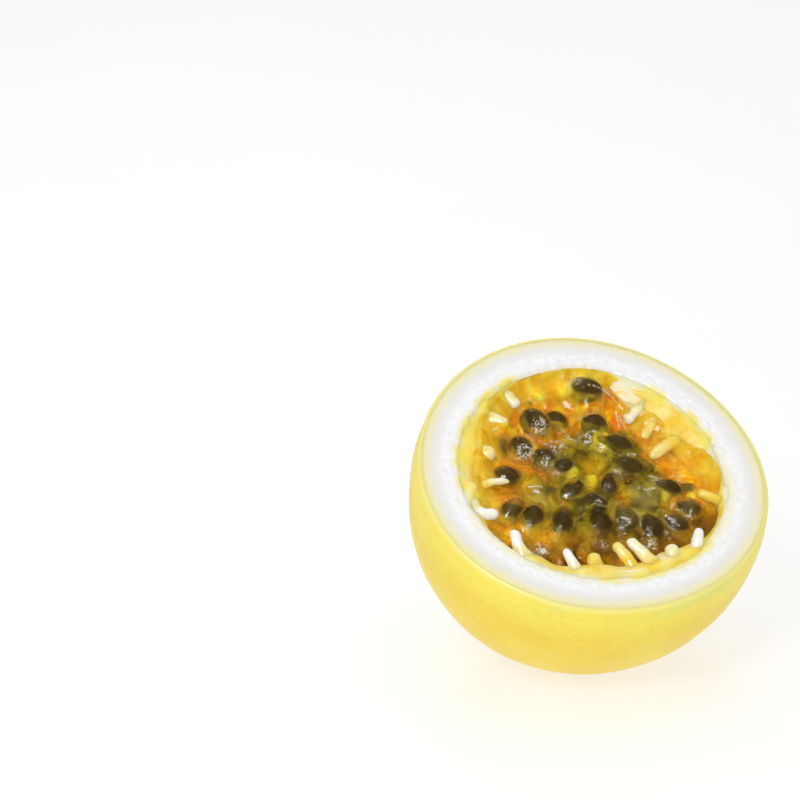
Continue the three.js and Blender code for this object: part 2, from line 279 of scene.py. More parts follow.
class StageSettings(bpy.types.PropertyGroup):
    """The camera, the floor and the lights."""

    azimuth: angle_property("Azimuth", "0 looks along +Y", -16.4)
    elevation: angle_property("Elevation", "Above the horizon", 20)
    distance: length_property("Distance", "From the camera to the cut face", 684)
    aim_right: length_property("Right of centre", "Cut face from the view's middle", 36.56)
    aim_down: length_property("Below centre", "Cut face from the view's middle", 13.55)
    floor_radius: length_property("Floor radius", "Of the pale floor", 1500)
    lens: FloatProperty(name="Lens", description="Focal length in millimetres", default=162)
    surround: FloatProperty(name="Surround", description="Brightness of the white surround", default=0.76)
    mirrored: FloatProperty(
        name="Mirrored surround", description="Its brightness in wet surfaces", default=0.1
    )
    detail: IntProperty(name="Detail", description="Sides of the finest rounds", default=480)


# ------------------------------------------------------------- small helpers


def vary(index, draw):
    """A number from 0 to 1 that is always the same for the same index and draw."""
    wave = math.sin(index * 127.1 + DRAW[draw] * 311.7) * 43758.5453
    return wave - math.floor(wave)


def sway(index, draw):
    """As vary(), but from -1 to 1."""
    return 2 * vary(index, draw) - 1


def within(low, high, index, draw):
    """As vary(), but from low to high."""
    return low + (high - low) * vary(index, draw)


def smoothstep(low, high, value):
    """A smooth step from 0 at low to 1 at high."""
    t = np.clip((value - low) / (high - low), 0, 1)
    return t * t * (3 - 2 * t)


def bell(away, reach):
    """1 at no distance, falling smoothly away to 0 past the reach."""
    return np.exp(-((away / reach) ** 2))


def higher(low, high, soft):
    """The higher of two heights at each point, rounded where they cross."""
    blend = np.clip(0.5 + 0.5 * (high - low) / soft, 0, 1)
    return low + (high - low) * blend + soft * blend * (1 - blend)


def turned(x, y, way):
    """How far points lie along a way in the cut face, and across it."""
    return x * math.cos(way) + y * math.sin(way), -x * math.sin(way) + y * math.cos(way)


def flat_points(x, y):
    """Points of the cut face, for noise to be read at."""
    return np.stack([x, y, 0 * x], axis=-1)


def blurred(x, y, size, reach, seed):
    """Places in the cut face, each pushed a little way by lumps of noise of this size."""
    spot = flat_points(x, y)
    return x + reach * noise(spot, size, seed), y + reach * noise(spot, size, seed + 1)


def round_points(angle, out, height):
    """Points at these angles, distances from the axis and heights."""
    angle, out, height = np.broadcast_arrays(angle, out, height)
    return np.stack([out * np.cos(angle), out * np.sin(angle), height], axis=-1)


def lattice_value(cell, seed):
    """A value from -1 to 1 for each whole-numbered cell."""
    mixed = cell[..., 0] * 374761393 + cell[..., 1] * 668265263 + cell[..., 2] * 2147483647
    mixed = (mixed + seed * 1274126177) & 0xFFFFFFFF
    mixed = ((mixed ^ (mixed >> 13)) * 1103515245) & 0xFFFFFFFF
    mixed = ((mixed ^ (mixed >> 16)) * 60493) & 0xFFFFFFFF
    return (mixed & 0xFFFF) / 32767.5 - 1


def noise(points, size, seed=0):
    """Smooth noise from about -1 to 1 with lumps of the given size."""
    scaled = np.asarray(points, float) / size
    cell = np.floor(scaled).astype(np.int64)
    part = scaled - cell
    part = part * part * part * (part * (part * 6 - 15) + 10)
    total = np.zeros(scaled.shape[:-1])
    for corner in np.ndindex(2, 2, 2):
        offset = np.array(corner)
        weight = np.prod(np.where(offset == 1, part, 1 - part), axis=-1)
        total += weight * lattice_value(cell + offset, seed)
    return total


def layered(points, size, layers, seed=0):
    """Noise with finer and fainter layers on top."""
    total = np.zeros(np.asarray(points).shape[:-1])
    for layer in range(layers):
        total += noise(points, size / 2**layer, seed + layer) / 2**layer
    return total


# ------------------------------------------------------------ the fruit's form


class Fruit:
    """The fruit's form in its own frame, in millimetres."""

    # How deep the bands go on thickening
    BAND_DEPTH = 5
    # Heights of the pulp between its sacs, in the middle and at the lining
    BED_CROWN = -2.2
    BED_EDGE = -3.6
    # The faint three-sided lobing: its share of the radius, and where one lobe points
    LOBE_DEPTH = 0.012
    LOBE_TURN = math.pi / 2
    CARPELS = 3
    # A sac's half axes along, across and up, its share of its seed's size, how far its middle
    # leads the seed, how far it sinks and lifts, how it narrows, rounds off and warps, and how
    # softly it meets the next sac and the bed
    SAC = (4.8, 3.0, 2.9)
    SAC_SHARE = 0.96
    SAC_LEAD = 1.3
    SAC_SINK = 1.1
    SAC_LIFT = 0.5
    SAC_TAPER = 0.18
    SAC_ROUND = 2.4
    SAC_WARP = 0.55
    SAC_WARP_SIZE = 3.2
    SAC_BLEND = 0.22
    SAC_CREASE = 0.5
    # A seed's half width and half height as shares of its length, and how far it is raised
    SEED_WIDE = 0.39
    SEED_HIGH = 0.23
    SEED_RISE = 0.1
    # The spiral of deep sacs: how many it could hold, how far it spreads, how clear of the seen
    # seeds it keeps, and the lowest bed that it fills
    SPIRAL_COUNT = 42
    SPIRAL_SPREAD = 21.5
    SPIRAL_CLEAR = 5.2
    SPIRAL_FLOOR = -4.4
    # Height or depth, and reach from the lining, of the clear juice drawn up against it, of the
    # thick juice that climbs it, and of the gap on the low side
    MENISCUS = (1.1, 0.8)
    CLIMB = (1.7, 2.4)
    GAP = (0.9, 1.3)
    # A height far below every surface, where nothing is
    NOWHERE = -20.0

    def __init__(self, sizes):
        self.radius = sizes.body_radius / MM
        self.length = sizes.body_length / MM
        self.cut = sizes.cut_height / MM
        self.peel = sizes.peel / MM
        self.lining = sizes.lining / MM
        self.band_thick = sizes.band / MM
        self.cavity_radius = self.radius - sizes.wall_side / MM
        self.cavity_length = self.length - sizes.wall_end / MM
        self.tilt = sizes.tilt
        self.rest_radius = sizes.rest_radius / MM
        self.seed_length = sizes.seed_length / MM
        self.shown_seeds = []

    def lay_down(self):
        """From the fruit's frame, in millimetres, to the table, in metres."""
        sine, cosine = math.sin(self.tilt), math.cos(self.tilt)
        reach = math.hypot(self.radius * sine, self.length * cosine)
        back = (self.length**2 - self.radius**2) * sine * cosine / reach
        flat = self.rest_radius**2 / (2 * reach)
        place = Matrix.Translation((0, -back, reach - flat))
        lift = Matrix.Translation((0, 0, self.cut))
        return Matrix.Scale(MM, 4) @ place @ Matrix.Rotation(self.tilt, 4, "X") @ lift

    def to_table(self, points):
        """Points of the fruit's frame, laid down on the table."""
        turn = np.array(self.lay_down())
        return np.asarray(points) @ turn[:3, :3].T + turn[:3, 3]

    def lobe(self, angle):
        """How far the lobes stand out, as a share of the radius."""
        return self.LOBE_DEPTH * np.cos(self.CARPELS * (angle - self.LOBE_TURN))

    def band(self, angle, depth=None):
        """1 in the middle of each band of stalks, falling away to 0 between them. With a depth,
        how much a band adds to the lining there."""
        most = np.zeros(np.broadcast(angle, 0 if depth is None else depth).shape)
        for turn, spread, slope, sharpness in BANDS:
            away = angle - math.radians(turn)
            off = np.arctan2(np.sin(away), np.cos(away))
            fade = np.exp(-(np.abs(off / (BAND_FADE * math.radians(spread))) ** sharpness))
            most = np.maximum(most, fade if depth is None else fade * (self.band_thick + slope * depth))
        return most

    def egg(self, radius, length, angle, height, inset=0.0):
        """Distance from the axis of an egg's surface at a height over the cut."""
        share = np.clip((height + self.cut) / length, -1, 1)
        out = np.sqrt(1 - share * share)
        return out * (radius * (1 + self.lobe(angle) * out) - inset * out)

    def lining_inset(self, angle, height):
        """How thick the lining is at a height over the cut."""
        depth = np.clip(-height, 0, self.BAND_DEPTH)
        return self.lining + self.band(angle, depth)

    def hollow(self, angle, height, margin=0.0):
        """The lining's inner face, as a distance from the axis."""
        length = self.cavity_length - self.lining - margin
        inset = self.lining_inset(angle, height) + margin
        return self.egg(self.cavity_radius, length, angle, height, inset)

    def bed_top(self, x, y):
        """Height of the pulp between its sacs."""
        share = np.minimum(1, np.hypot(x, y) / (self.cavity_radius - self.lining))
        top = self.BED_CROWN + (self.BED_EDGE - self.BED_CROWN) * share * share
        for middle_x, middle_y, reach, rise in SWELLS:
            away = np.hypot(x - middle_x, y - middle_y) / reach
            top = top + rise * np.exp(-away * away)
        return top

    def spiral_places(self):
        """Sacs whose seeds lie deeper, on a sunflower spiral clear of the seeds that show."""
        taken = [aril[:2] for aril in ARILS]
        places = []
        for i in range(self.SPIRAL_COUNT):
            out = self.SPIRAL_SPREAD * math.sqrt((i + 0.5) / self.SPIRAL_COUNT)
            x, y = out * math.cos(i * GOLDEN_ANGLE), out * math.sin(i * GOLDEN_ANGLE)
            clear = all(math.hypot(x - a, y - b) > self.SPIRAL_CLEAR for a, b in taken)
            if clear and self.bed_top(x, y) > self.SPIRAL_FLOOR:
                places.append((x, y))
        return places

    def sacs(self):
        """Each sac's middle, the way it points and its size: the seen ones, then the deep ones."""
        found = []
        for x, y, _, turn, _, _, size in ARILS:
            way = math.radians(turn)
            middle = (x + self.SAC_LEAD * math.cos(way), y + self.SAC_LEAD * math.sin(way))
            found.append((*middle, way, size * self.SAC_SHARE))
        for index, (x, y) in enumerate(self.spiral_places()):
            way = math.atan2(-y, -x) + 0.6 * sway(index, "sac_turn")
            found.append((x, y, way, within(0.8, 1.0, index, "sac_size")))
        return found

    def sac_cover(self, x, y):
        """Of the sacs over each point: their blended height, how near an edge, and their tone."""
        warped_x, warped_y = blurred(x, y, self.SAC_WARP_SIZE, self.SAC_WARP, 71)
        tops = np.full(np.shape(x), self.NOWHERE)
        edges, tones = np.ones(np.shape(x)), np.zeros(np.shape(x))
        blended = np.zeros(np.shape(x))
        for index, (middle_x, middle_y, way, size) in enumerate(self.sacs()):
            long, wide, high = (half * size for half in self.SAC)
            along, across = turned(warped_x - middle_x, warped_y - middle_y, way)
            along = along / long
            across = across / (wide * np.clip(1 - self.SAC_TAPER * along, 0.5, 1.5))
            away = np.sqrt(along**2 + across**2)
            lift = self.SAC_LIFT * sway(index, "sac_lift")
            middle = self.bed_top(middle_x, middle_y) - self.SAC_SINK + lift
            top = middle + high * (1 - np.minimum(away, 2) ** self.SAC_ROUND)
            blended += np.exp(np.clip(top / self.SAC_BLEND, -60, 60))
            over = (away < 1) & (top > tops)
            tops, edges = np.where(over, top, tops), np.where(over, away, edges)
            tones = np.where(over, vary(index, "sac_tone"), tones)
        return self.SAC_BLEND * np.log(blended + 1e-30), edges, tones

    def pulp_top(self, x, y):
        """Height of the pulp with its sacs, softly creased where they meet."""
        x, y = np.asarray(x, float), np.asarray(y, float)
        bed = self.bed_top(x, y) + self.rim_rise(x, y)
        return higher(bed, self.sac_cover(x, y)[0], self.SAC_CREASE)

    def seed_halves(self, length, lean):
        """Half the width and half the height of a seed that is rolled on edge."""
        wide = length * math.hypot(self.SEED_WIDE * math.cos(lean), self.SEED_HIGH * math.sin(lean))
        high = length * math.hypot(self.SEED_HIGH * math.cos(lean), self.SEED_WIDE * math.sin(lean))
        return wide, high

    def seeds(self):
        """The seeds that show: each one's middle, turn, roll and length."""
        if not self.shown_seeds:
            for x, y, turn, _, depth, roll, size in ARILS:
                length, lean, way = self.seed_length * size, math.radians(roll), math.radians(turn)
                half = self.seed_halves(length, lean)[1]
                middle = (x, y, float(self.pulp_top(x, y)) - depth - half + self.SEED_RISE)
                self.shown_seeds.append((middle, way, lean, length))
        return self.shown_seeds

    def seed_cover(self, x, y, skin):
        """Height of a skin this thick over the seeds, and how far each point is from a seed."""
        cover, nearest = np.full(np.shape(x), self.NOWHERE), np.full(np.shape(x), 9.0)
        for (seed_x, seed_y, height), way, lean, length in self.seeds():
            wide, high = self.seed_halves(length, lean)
            along, across = turned(x - seed_x, y - seed_y, way)
            away = np.hypot(along / (length / 2 + skin), across / (wide + skin))
            cover = np.maximum(cover, height + (high + skin) * (2 * np.exp(-0.55 * away**2) - 1))
            nearest = np.minimum(nearest, away)
        return cover, nearest

    def from_wall(self, x, y, height):
        """How far points are from the lining at this height, and the sine of their angle."""
        angle = np.arctan2(y, x)
        return np.clip(self.hollow(angle, height) - np.hypot(x, y), 0, None), np.sin(angle)

    def meniscus(self, x, y):
        """How far the clear juice draws up where it meets the lining."""
        away, slope = self.from_wall(x, y, -2.5)
        rise, reach = self.MENISCUS
        return rise * np.exp(-away / reach) * smoothstep(-0.5, 0.0, slope)

    def rim_rise(self, x, y):
        """How far the juice climbs the lining, or has drawn away from it on the low side."""
        away, slope = self.from_wall(x, y, -3.5)
        low_side = smoothstep(-0.3, -0.7, slope)
        (rise, reach), (drop, gap) = self.CLIMB, self.GAP
        return rise * bell(away, reach) * (1 - low_side) - drop * bell(away, gap) * low_side


# --------------------------------------------------------------- mesh helpers


def linked(name, data):
    """A new object in the scene that holds a mesh, a lamp or a camera."""
    shape = bpy.data.objects.new(name, data)
    bpy.context.scene.collection.objects.link(shape)
    return shape


def new_object(name, vertices, faces=(), edges=()):
    mesh = bpy.data.meshes.new(name)
    mesh.from_pydata(np.asarray(vertices, float).tolist(), edges, faces)
    mesh.update()
    return linked(name, mesh)


def points_of(shape):
    """An object's points, as rows of x, y and z."""
    flat = np.empty(len(shape.data.vertices) * 3)
    shape.data.vertices.foreach_get("co", flat)
    return flat.reshape(-1, 3)


def point_outwards(shape):
    edit = bmesh.new()
    edit.from_mesh(shape.data)
    bmesh.ops.recalc_face_normals(edit, faces=edit.faces)
    edit.to_mesh(shape.data)
    edit.free()
    shape.data.shade_smooth()


def set_attribute(shape, name, values):
    attribute = shape.data.attributes.new(name, "FLOAT", "POINT")
    attribute.data.foreach_set("value", np.ascontiguousarray(values, np.float32).ravel())


def set_vectors(shape, name, columns):
    """Keeps three values at each point, given as three columns."""
    attribute = shape.data.attributes.new(name, "FLOAT_VECTOR", "POINT")
    attribute.data.foreach_set("vector", np.stack(columns, axis=-1).astype(np.float32).ravel())


def revolved(name, rings):
    """A closed body from rings of points, its first and last ring shrunk to one point."""
    count, sides = rings.shape[:2]
    body = rings[1:-1].reshape(-1, 3)
    vertices = np.vstack([body, rings[0].mean(0)[None], rings[-1].mean(0)[None]])
    first, last = len(body), len(body) + 1
    faces = []
    for ring in range(count - 3):
        low, high = ring * sides, (ring + 1) * sides
        for side in range(sides):
            turn = (side + 1) % sides
            faces.append((low + side, low + turn, high + turn, high + side))
    end = (count - 3) * sides
    for side in range(sides):
        turn = (side + 1) % sides
        faces.append((first, turn, side))
        faces.append((last, end + side, end + turn))
    return new_object(name, vertices, faces)


def ring_values(values):
    """Values on rings, put in the order in which revolved() keeps its points."""
    return np.concatenate([values[1:-1].reshape(-1), [values[0].mean(), values[-1].mean()]])


def keep_on_rings(shape, **columns):
    """Keeps values at the points of a body that revolved() made, each given ring by ring."""
    for label, values in columns.items():
        set_attribute(shape, label, ring_values(values))


def finished(shape, fruit, material, nodes):
    """Lays a shape down on the table and hands it to the frame."""
    shape.data.vertices.foreach_set("co", fruit.to_table(points_of(shape)).ravel())
    shape.data.update()
    point_outwards(shape)
    shape.data.materials.clear()
    shape.data.materials.append(material)
    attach(shape, "root")
    for node in nodes:
        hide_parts(node)
    return shape


# ---------------------------------------------------------------- node helpers


class NodeMaker:
    """Adds nodes to a tree and joins them."""

    def __init__(self, tree):
        self.tree = tree

    def join(self, source, target):
        self.tree.links.new(source, target)

    def node(self, kind, values=None, **settings):
        """A new node whose inputs are each a plain value or another node's output."""
        made = self.tree.nodes.new(kind)
        for key, value in settings.items():
            setattr(made, key, value)
        for key, value in (values or {}).items():
            if isinstance(value, bpy.types.NodeSocket):
                self.join(value, made.inputs[key])
            else:
                made.inputs[key].default_value = value
        return made

    def math(self, operation, first, second, **settings):
        values = {0: first, 1: second}
        return self.node("ShaderNodeMath", values, operation=operation, **settings).outputs[0]

    def plus(self, first, second):
        return self.math("ADD", first, second)

    def times(self, first, second):
        return self.math("MULTIPLY", first, second)

    def total(self, value, *parts):
        """A value with a weighted share of each of the parts added to it."""
        for part, weight in parts:
            value = self.plus(value, self.times(part, weight))
        return value


class Finish(NodeMaker):
    """A material under construction."""

    def __init__(self, name):
        self.material = bpy.data.materials.new(name)
        self.material.use_nodes = True
        super().__init__(self.material.node_tree)
        self.shader = self.tree.nodes["Principled BSDF"]

    def set(self, **values):
        """Sets plain values on the shader's own sockets."""
        for label, value in values.items():
            socket = label.replace("_", " ").title().replace("Ior", "IOR")
            self.shader.inputs[socket].default_value = value

    def place(self):
        return self.node("ShaderNodeTexCoord").outputs["Object"]

    def attribute(self, name, output="Fac"):
        return self.node("ShaderNodeAttribute", attribute_name=name).outputs[output]

    def noise(self, size_mm, detail=2.0, distortion=0.0):
        values = {"Vector": self.place(), "Scale": 1 / (size_mm * MM), "Detail": detail}
        values["Distortion"] = distortion
        return self.node("ShaderNodeTexNoise", values).outputs["Fac"]

    def fibres(self, attribute, detail=2.0, distortion=0.4):
        """Noise drawn out along the way that a vector attribute changes least."""
        values = {"Vector": self.attribute(attribute, "Vector"), "Scale": 1.0, "Detail": detail}
        values["Distortion"] = distortion
        return self.node("ShaderNodeTexNoise", values).outputs["Fac"]

    def spots(self, size_mm):
        """Distance from the middles of cells of this size, as a share of the size."""
        values = {"Vector": self.place(), "Scale": 1 / (size_mm * MM)}
        return self.node("ShaderNodeTexVoronoi", values).outputs["Distance"]

    def ramp(self, value, low, high, start=0.0, end=1.0):
        """A smooth step of a value, from start at low to end at high."""
        values = {"Value": value, "From Min": low, "From Max": high, "To Min": start, "To Max": end}
        return self.node("ShaderNodeMapRange", values, interpolation_type="SMOOTHSTEP").outputs["Result"]

    def mix(self, share, first, second):
        """The first colour, with this share of the second mixed in."""
        values = {0: share}
        for socket, value in ((6, first), (7, second)):
            joined = isinstance(value, bpy.types.NodeSocket)
            values[socket] = value if joined else (*value[:3], 1)
        return self.node("ShaderNodeMix", values, data_type="RGBA").outputs[2]

    def bump(self, height, depth_mm, strength, under=None):
        """Relief this deep, on top of any other relief."""
        values = {"Height": height, "Distance": depth_mm * MM, "Strength": strength}
        if under:
            values["Normal"] = under
        return self.node("ShaderNodeBump", values).outputs["Normal"]

    def drive(self, label, source):
        self.join(source, self.shader.inputs[label])

    def scatter(self, weight, radius_mm):
        """Light that sinks in and comes out again, as far as this in red, green and blue."""
        self.set(subsurface_weight=weight, subsurface_scale=1.0)
        self.set(subsurface_radius=[reach * MM for reach in radius_mm])


# ------------------------------------------------------------------ the finishes

# Shades that the finishes mix in, as linear values: of the peel
LEMON = (0.95, 0.78, 0.115)
OCHRE = (0.8, 0.54, 0.035)
FRECKLE = (0.97, 0.87, 0.4)
UNRIPE = (0.75, 0.74, 0.2)
WORN_EDGE = (0.94, 0.82, 0.26)
# of the pith
GREY_PITH = (0.82, 0.805, 0.785)
# whiter pith, with painted sheen where it is wet
WHITE_AND_PAINTED_SHEEN = (0.975, 0.975, 0.98)
STAINED_PITH = (0.96, 0.86, 0.56)
PITH_YOLK = (1.0, 0.8, 0.16)
PITH_BY_PEEL = (0.97, 0.85, 0.37)
# of the lining
APRICOT = (0.98, 0.62, 0.06)
IVORY = (0.94, 0.87, 0.68)
STRAW = (0.98, 0.85, 0.47)
RIM_WHITE = (0.94, 0.9, 0.76)
LINING_YOLK = (1.0, 0.76, 0.1)
SOAKED = (1.0, 0.62, 0.05)
BY_THE_JUICE = (1.0, 0.67, 0.08)
# of the stalks, from white to rusty
STALK_SHADES = ((0.97, 0.93, 0.85), (0.99, 0.81, 0.38), (1.0, 0.64, 0.08), (0.9, 0.48, 0.03))
# of the thick juice in the bed
BED_SHADES = {
    "gold": (0.72, 0.48, 0.01),
    "deep": (0.035, 0.022, 0.002),
    "rust": (0.75, 0.28, 0.01),
    # the painted brown shade
    "brown": (0.18, 0.07, 0.003),
    "red": (0.9, 0.34, 0.02),
    "yellow": (1.0, 0.78, 0.04),
}
BED_ORANGE = (0.86, 0.36, 0.015)
BED_OLIVES = ((0.05, 0.03, 0.002), (0.4, 0.31, 0.015))
BED_BY_WALL = (1.0, 0.66, 0.08)
# of the seeds
SEED_BROWN = (0.05, 0.03, 0.016)
SEED_EDGE = (0.3, 0.2, 0.025)
# of the clear jelly
JELLY_SHADES = {
    "gold": (0.98, 0.76, 0.03),
    "deep": (0.42, 0.3, 0.015),
    "rust": (1.0, 0.52, 0.02),
    # the painted brown shade
    "brown": (0.66, 0.36, 0.012),
    "red": (1.0, 0.56, 0.08),
    "yellow": (1.0, 0.88, 0.06),
}
JELLY_OLIVES = ((0.52, 0.4, 0.02), (0.82, 0.67, 0.06))
JELLY_AMBERS = ((1.0, 0.56, 0.015), (1.0, 0.78, 0.06))
JELLY_BY_WALL = ((1.0, 0.56, 0.02), (1.0, 0.74, 0.07))
BEAD_YELLOW = (1.0, 0.8, 0.03)
# the painted shade in the creases between sacs
PAINTED_CREASE_SHADE = (0.6, 0.38, 0.03)
OVER_SEED = (0.54, 0.37, 0.08)
CLOUDY = (0.56, 0.46, 0.14)
# the white of the painted glints
PAINTED_GLINT_WHITE = (0.86, 0.86, 0.78)


def peel_finish(colours):
    finish = Finish("peel")
    below = finish.attribute("rim")
    clouds = finish.ramp(finish.noise(9, 4), 0.3, 0.75)
    skin = finish.mix(clouds, colours.peel, colours.peel_pale)
    skin = finish.mix(finish.ramp(below, 10.5, 2, 0.0, 0.8), skin, LEMON)
    mottled = finish.times(finish.ramp(finish.noise(1.9, 3), 0.5, 0.7), 0.2)
    skin = finish.mix(mottled, skin, OCHRE)
    freckles = finish.ramp(finish.spots(2.9), 0.15, 0.07)
    skin = finish.mix(finish.times(freckles, 0.35), skin, FRECKLE)
    patches = finish.ramp(finish.noise(24), 0.5, 0.62)
    green = finish.times(finish.ramp(below, 4.5, 0.5), patches)
    skin = finish.mix(finish.times(green, 0.7), skin, UNRIPE)
    worn = finish.total(below, (finish.noise(3, 2), 0.7))
    skin = finish.mix(finish.ramp(worn, 1.7, 0.2), skin, WORN_EDGE)
    finish.drive("Base Color", skin)
    finish.set(roughness=0.42, specular_ior_level=0.25, coat_weight=0.08, coat_roughness=0.25)
    finish.scatter(0.25, (2.0, 1.2, 0.3))
    pores = finish.bump(finish.spots(0.9), 0.03, 0.5)
    finish.drive("Normal", finish.bump(finish.noise(3.2, 3), 0.14, 0.6, pores))
    return finish.material


def pith_finish(colours):
    finish = Finish("pith")
    across = finish.attribute("across")
    worn = finish.total(across, (finish.noise(2.2, 3), 0.18))
    grey = finish.ramp(worn, 0.72, 0.3)
    wall = finish.mix(grey, colours.pith, GREY_PITH)
    # The inner band of the cut is whiter and, where it is wet, painted brighter as sheen
    whiter_with_painted_sheen = finish.times(finish.ramp(worn, 0.52, 0.7), finish.ramp(worn, 1.0, 0.9))
    whiter_with_painted_sheen = finish.times(whiter_with_painted_sheen, finish.ramp(finish.noise(1.6, 2, 0.6), 0.38, 0.58, 0.3, 1.0))
    wall = finish.mix(whiter_with_painted_sheen, wall, WHITE_AND_PAINTED_SHEEN)
    near = finish.attribute("near")
    stain = finish.mix(near, finish.ramp(worn, 0.98, 1.12), finish.ramp(worn, 0.7, 1.1))
    wall = finish.mix(stain, wall, STAINED_PITH)
    yolk = finish.times(finish.attribute("yolk"), finish.ramp(worn, 0.78, 1.04))
    wall = finish.mix(yolk, wall, PITH_YOLK)
    skin_side = finish.ramp(worn, 0.6, 0.04)
    wall = finish.mix(finish.times(skin_side, skin_side), wall, PITH_BY_PEEL)
    finish.drive("Base Color", wall)
    wet = finish.times(finish.ramp(worn, 0.5, 0.7), finish.ramp(worn, 1.0, 0.88))
    finish.drive("Coat Weight", finish.times(wet, 0.6))
    finish.set(roughness=0.4, specular_ior_level=0.3, coat_roughness=0.12)
    finish.scatter(0.55, (2.2, 1.8, 1.4))
    grain = finish.bump(finish.noise(0.5, 3), 0.08, 0.6)
    finish.drive("Normal", finish.bump(finish.noise(2.4, 2), 0.15, 0.4, grain))
    return finish.material


def lining_finish(colours):
    finish = Finish("lining")
    fibres = finish.fibres("grain", 3.0)
    patchy = finish.noise(3.2, 2, 0.6)
    deeper = finish.ramp(finish.plus(fibres, patchy), 0.85, 1.25)
    flesh = finish.mix(deeper, colours.cream, APRICOT)
    white = finish.attribute("white")
    flesh = finish.mix(finish.times(white, finish.ramp(fibres, 0.66, 0.44)), flesh, IVORY)
    rim = finish.total(finish.attribute("from_rim"), (patchy, 1.2))
    flesh = finish.mix(finish.ramp(rim, 3.6, 1.6), flesh, STRAW)
    flesh = finish.mix(finish.ramp(rim, 2.4, 1.1), flesh, RIM_WHITE)
    yolk = finish.times(finish.attribute("yolk"), finish.ramp(patchy, 0.2, 0.6, 0.5, 1.0))
    flesh = finish.mix(yolk, flesh, LINING_YOLK)
    soaked = finish.times(finish.attribute("soaked"), finish.ramp(fibres, 0.3, 0.6, 0.6, 1.0))
    flesh = finish.mix(soaked, flesh, SOAKED)
    above = finish.total(finish.attribute("over_juice"), (patchy, 1.6))
    near_juice = finish.times(finish.ramp(above, 3.0, 0.2), finish.ramp(fibres, 0.34, 0.56, 0.45, 1.0))
    near_juice = finish.times(near_juice, finish.ramp(white, 0.0, 1.0, 1.0, 0.3))
    flesh = finish.mix(near_juice, flesh, BY_THE_JUICE)
    finish.drive("Base Color", flesh)
    finish.set(roughness=0.4, specular_ior_level=0.12, coat_weight=0.03, coat_roughness=0.15)
    finish.scatter(0.6, (2.6, 1.5, 0.5))
    ribbed = finish.bump(fibres, 0.2, 0.6)
    finish.drive("Normal", finish.bump(finish.noise(1.3, 2, 0.4), 0.12, 0.6, ribbed))
    return finish.material


def stalk_finish():
    finish = Finish("stalks")
    mottle = finish.math("SUBTRACT", finish.noise(1.4, 2), 0.5)
    tone = finish.total(finish.attribute("tone"), (mottle, 0.9))
    tone = finish.plus(tone, finish.ramp(finish.attribute("along"), 0.75, 0.3, 0.0, 0.65))
    flesh = STALK_SHADES[0]
    for (low, high), shade in zip(((0.0, 0.6), (0.5, 1.1), (1.3, 2.0)), STALK_SHADES[1:]):
        flesh = finish.mix(finish.ramp(tone, low, high), flesh, shade)
    finish.drive("Base Color", flesh)
    finish.set(roughness=0.32, specular_ior_level=0.3, coat_weight=0.25, coat_roughness=0.1)
    finish.scatter(0.8, (2.2, 1.6, 0.8))
    finish.drive("Normal", finish.bump(finish.noise(0.9, 2), 0.12, 0.6))
    return finish.material


def juice_colour(finish, amber, olive, shades):
    """The colour of the juice at each point, from the share of each kind that it holds, with painted brown
    shade towards the low edge.
    """
    clouded = finish.times(finish.noise(3.0, 1, 0.8), 0.6)

    def share(kind, low, high):
        return finish.ramp(finish.plus(finish.attribute(kind), clouded), low, high)

    juice = finish.mix(share("olive", 0.4, 1.1), amber, olive)
    juice = finish.mix(finish.times(finish.attribute("gold"), 0.8), juice, shades["gold"])
    juice = finish.mix(finish.times(finish.attribute("deep"), 0.9), juice, shades["deep"])
    juice = finish.mix(finish.attribute("rust"), juice, shades["rust"])
    # Painted shade: brown towards the low edge, by the lining
    juice = finish.mix(share("brown", 0.4, 1.1), juice, shades["brown"])
    juice = finish.mix(share("red", 0.6, 1.3), juice, shades["red"])
    yellower = finish.ramp(finish.attribute("yellow"), 0.1, 0.9, 0.0, 0.85)
    juice = finish.mix(yellower, juice, shades["yellow"])
    return finish.mix(finish.attribute("bead"), juice, BEAD_YELLOW)


def bed_finish(colours):
    finish = Finish("pulp_bed")
    streaks = finish.ramp(finish.fibres("streak", 1.0, 0.3), 0.36, 0.6)
    amber = finish.mix(streaks, BED_ORANGE, colours.amber)
    pockets = finish.ramp(finish.noise(2.4, 1, 0.6), 0.38, 0.64)
    olive = finish.mix(pockets, *BED_OLIVES)
    juice = juice_colour(finish, amber, olive, BED_SHADES)
    finish.drive("Base Color", finish.mix(finish.attribute("wall"), juice, BED_BY_WALL))
    finish.set(roughness=0.5, specular_ior_level=0.1)
    finish.scatter(0.5, (2.6, 1.6, 0.4))
    return finish.material


def seed_finish(colours):
    finish = Finish("seeds")
    shade = finish.ramp(finish.noise(1.8, 2), 0.4, 0.7)
    dark = finish.mix(shade, colours.seed, SEED_BROWN)
    edge = finish.node("ShaderNodeLayerWeight", {"Blend": 0.35}).outputs["Facing"]
    finish.drive("Base Color", finish.mix(finish.ramp(edge, 0.35, 0.95), dark, SEED_EDGE))
    finish.set(roughness=0.4, specular_ior_level=0.3)
    finish.drive("Normal", finish.bump(finish.spots(0.55), 0.08, 0.5))
    return finish.material


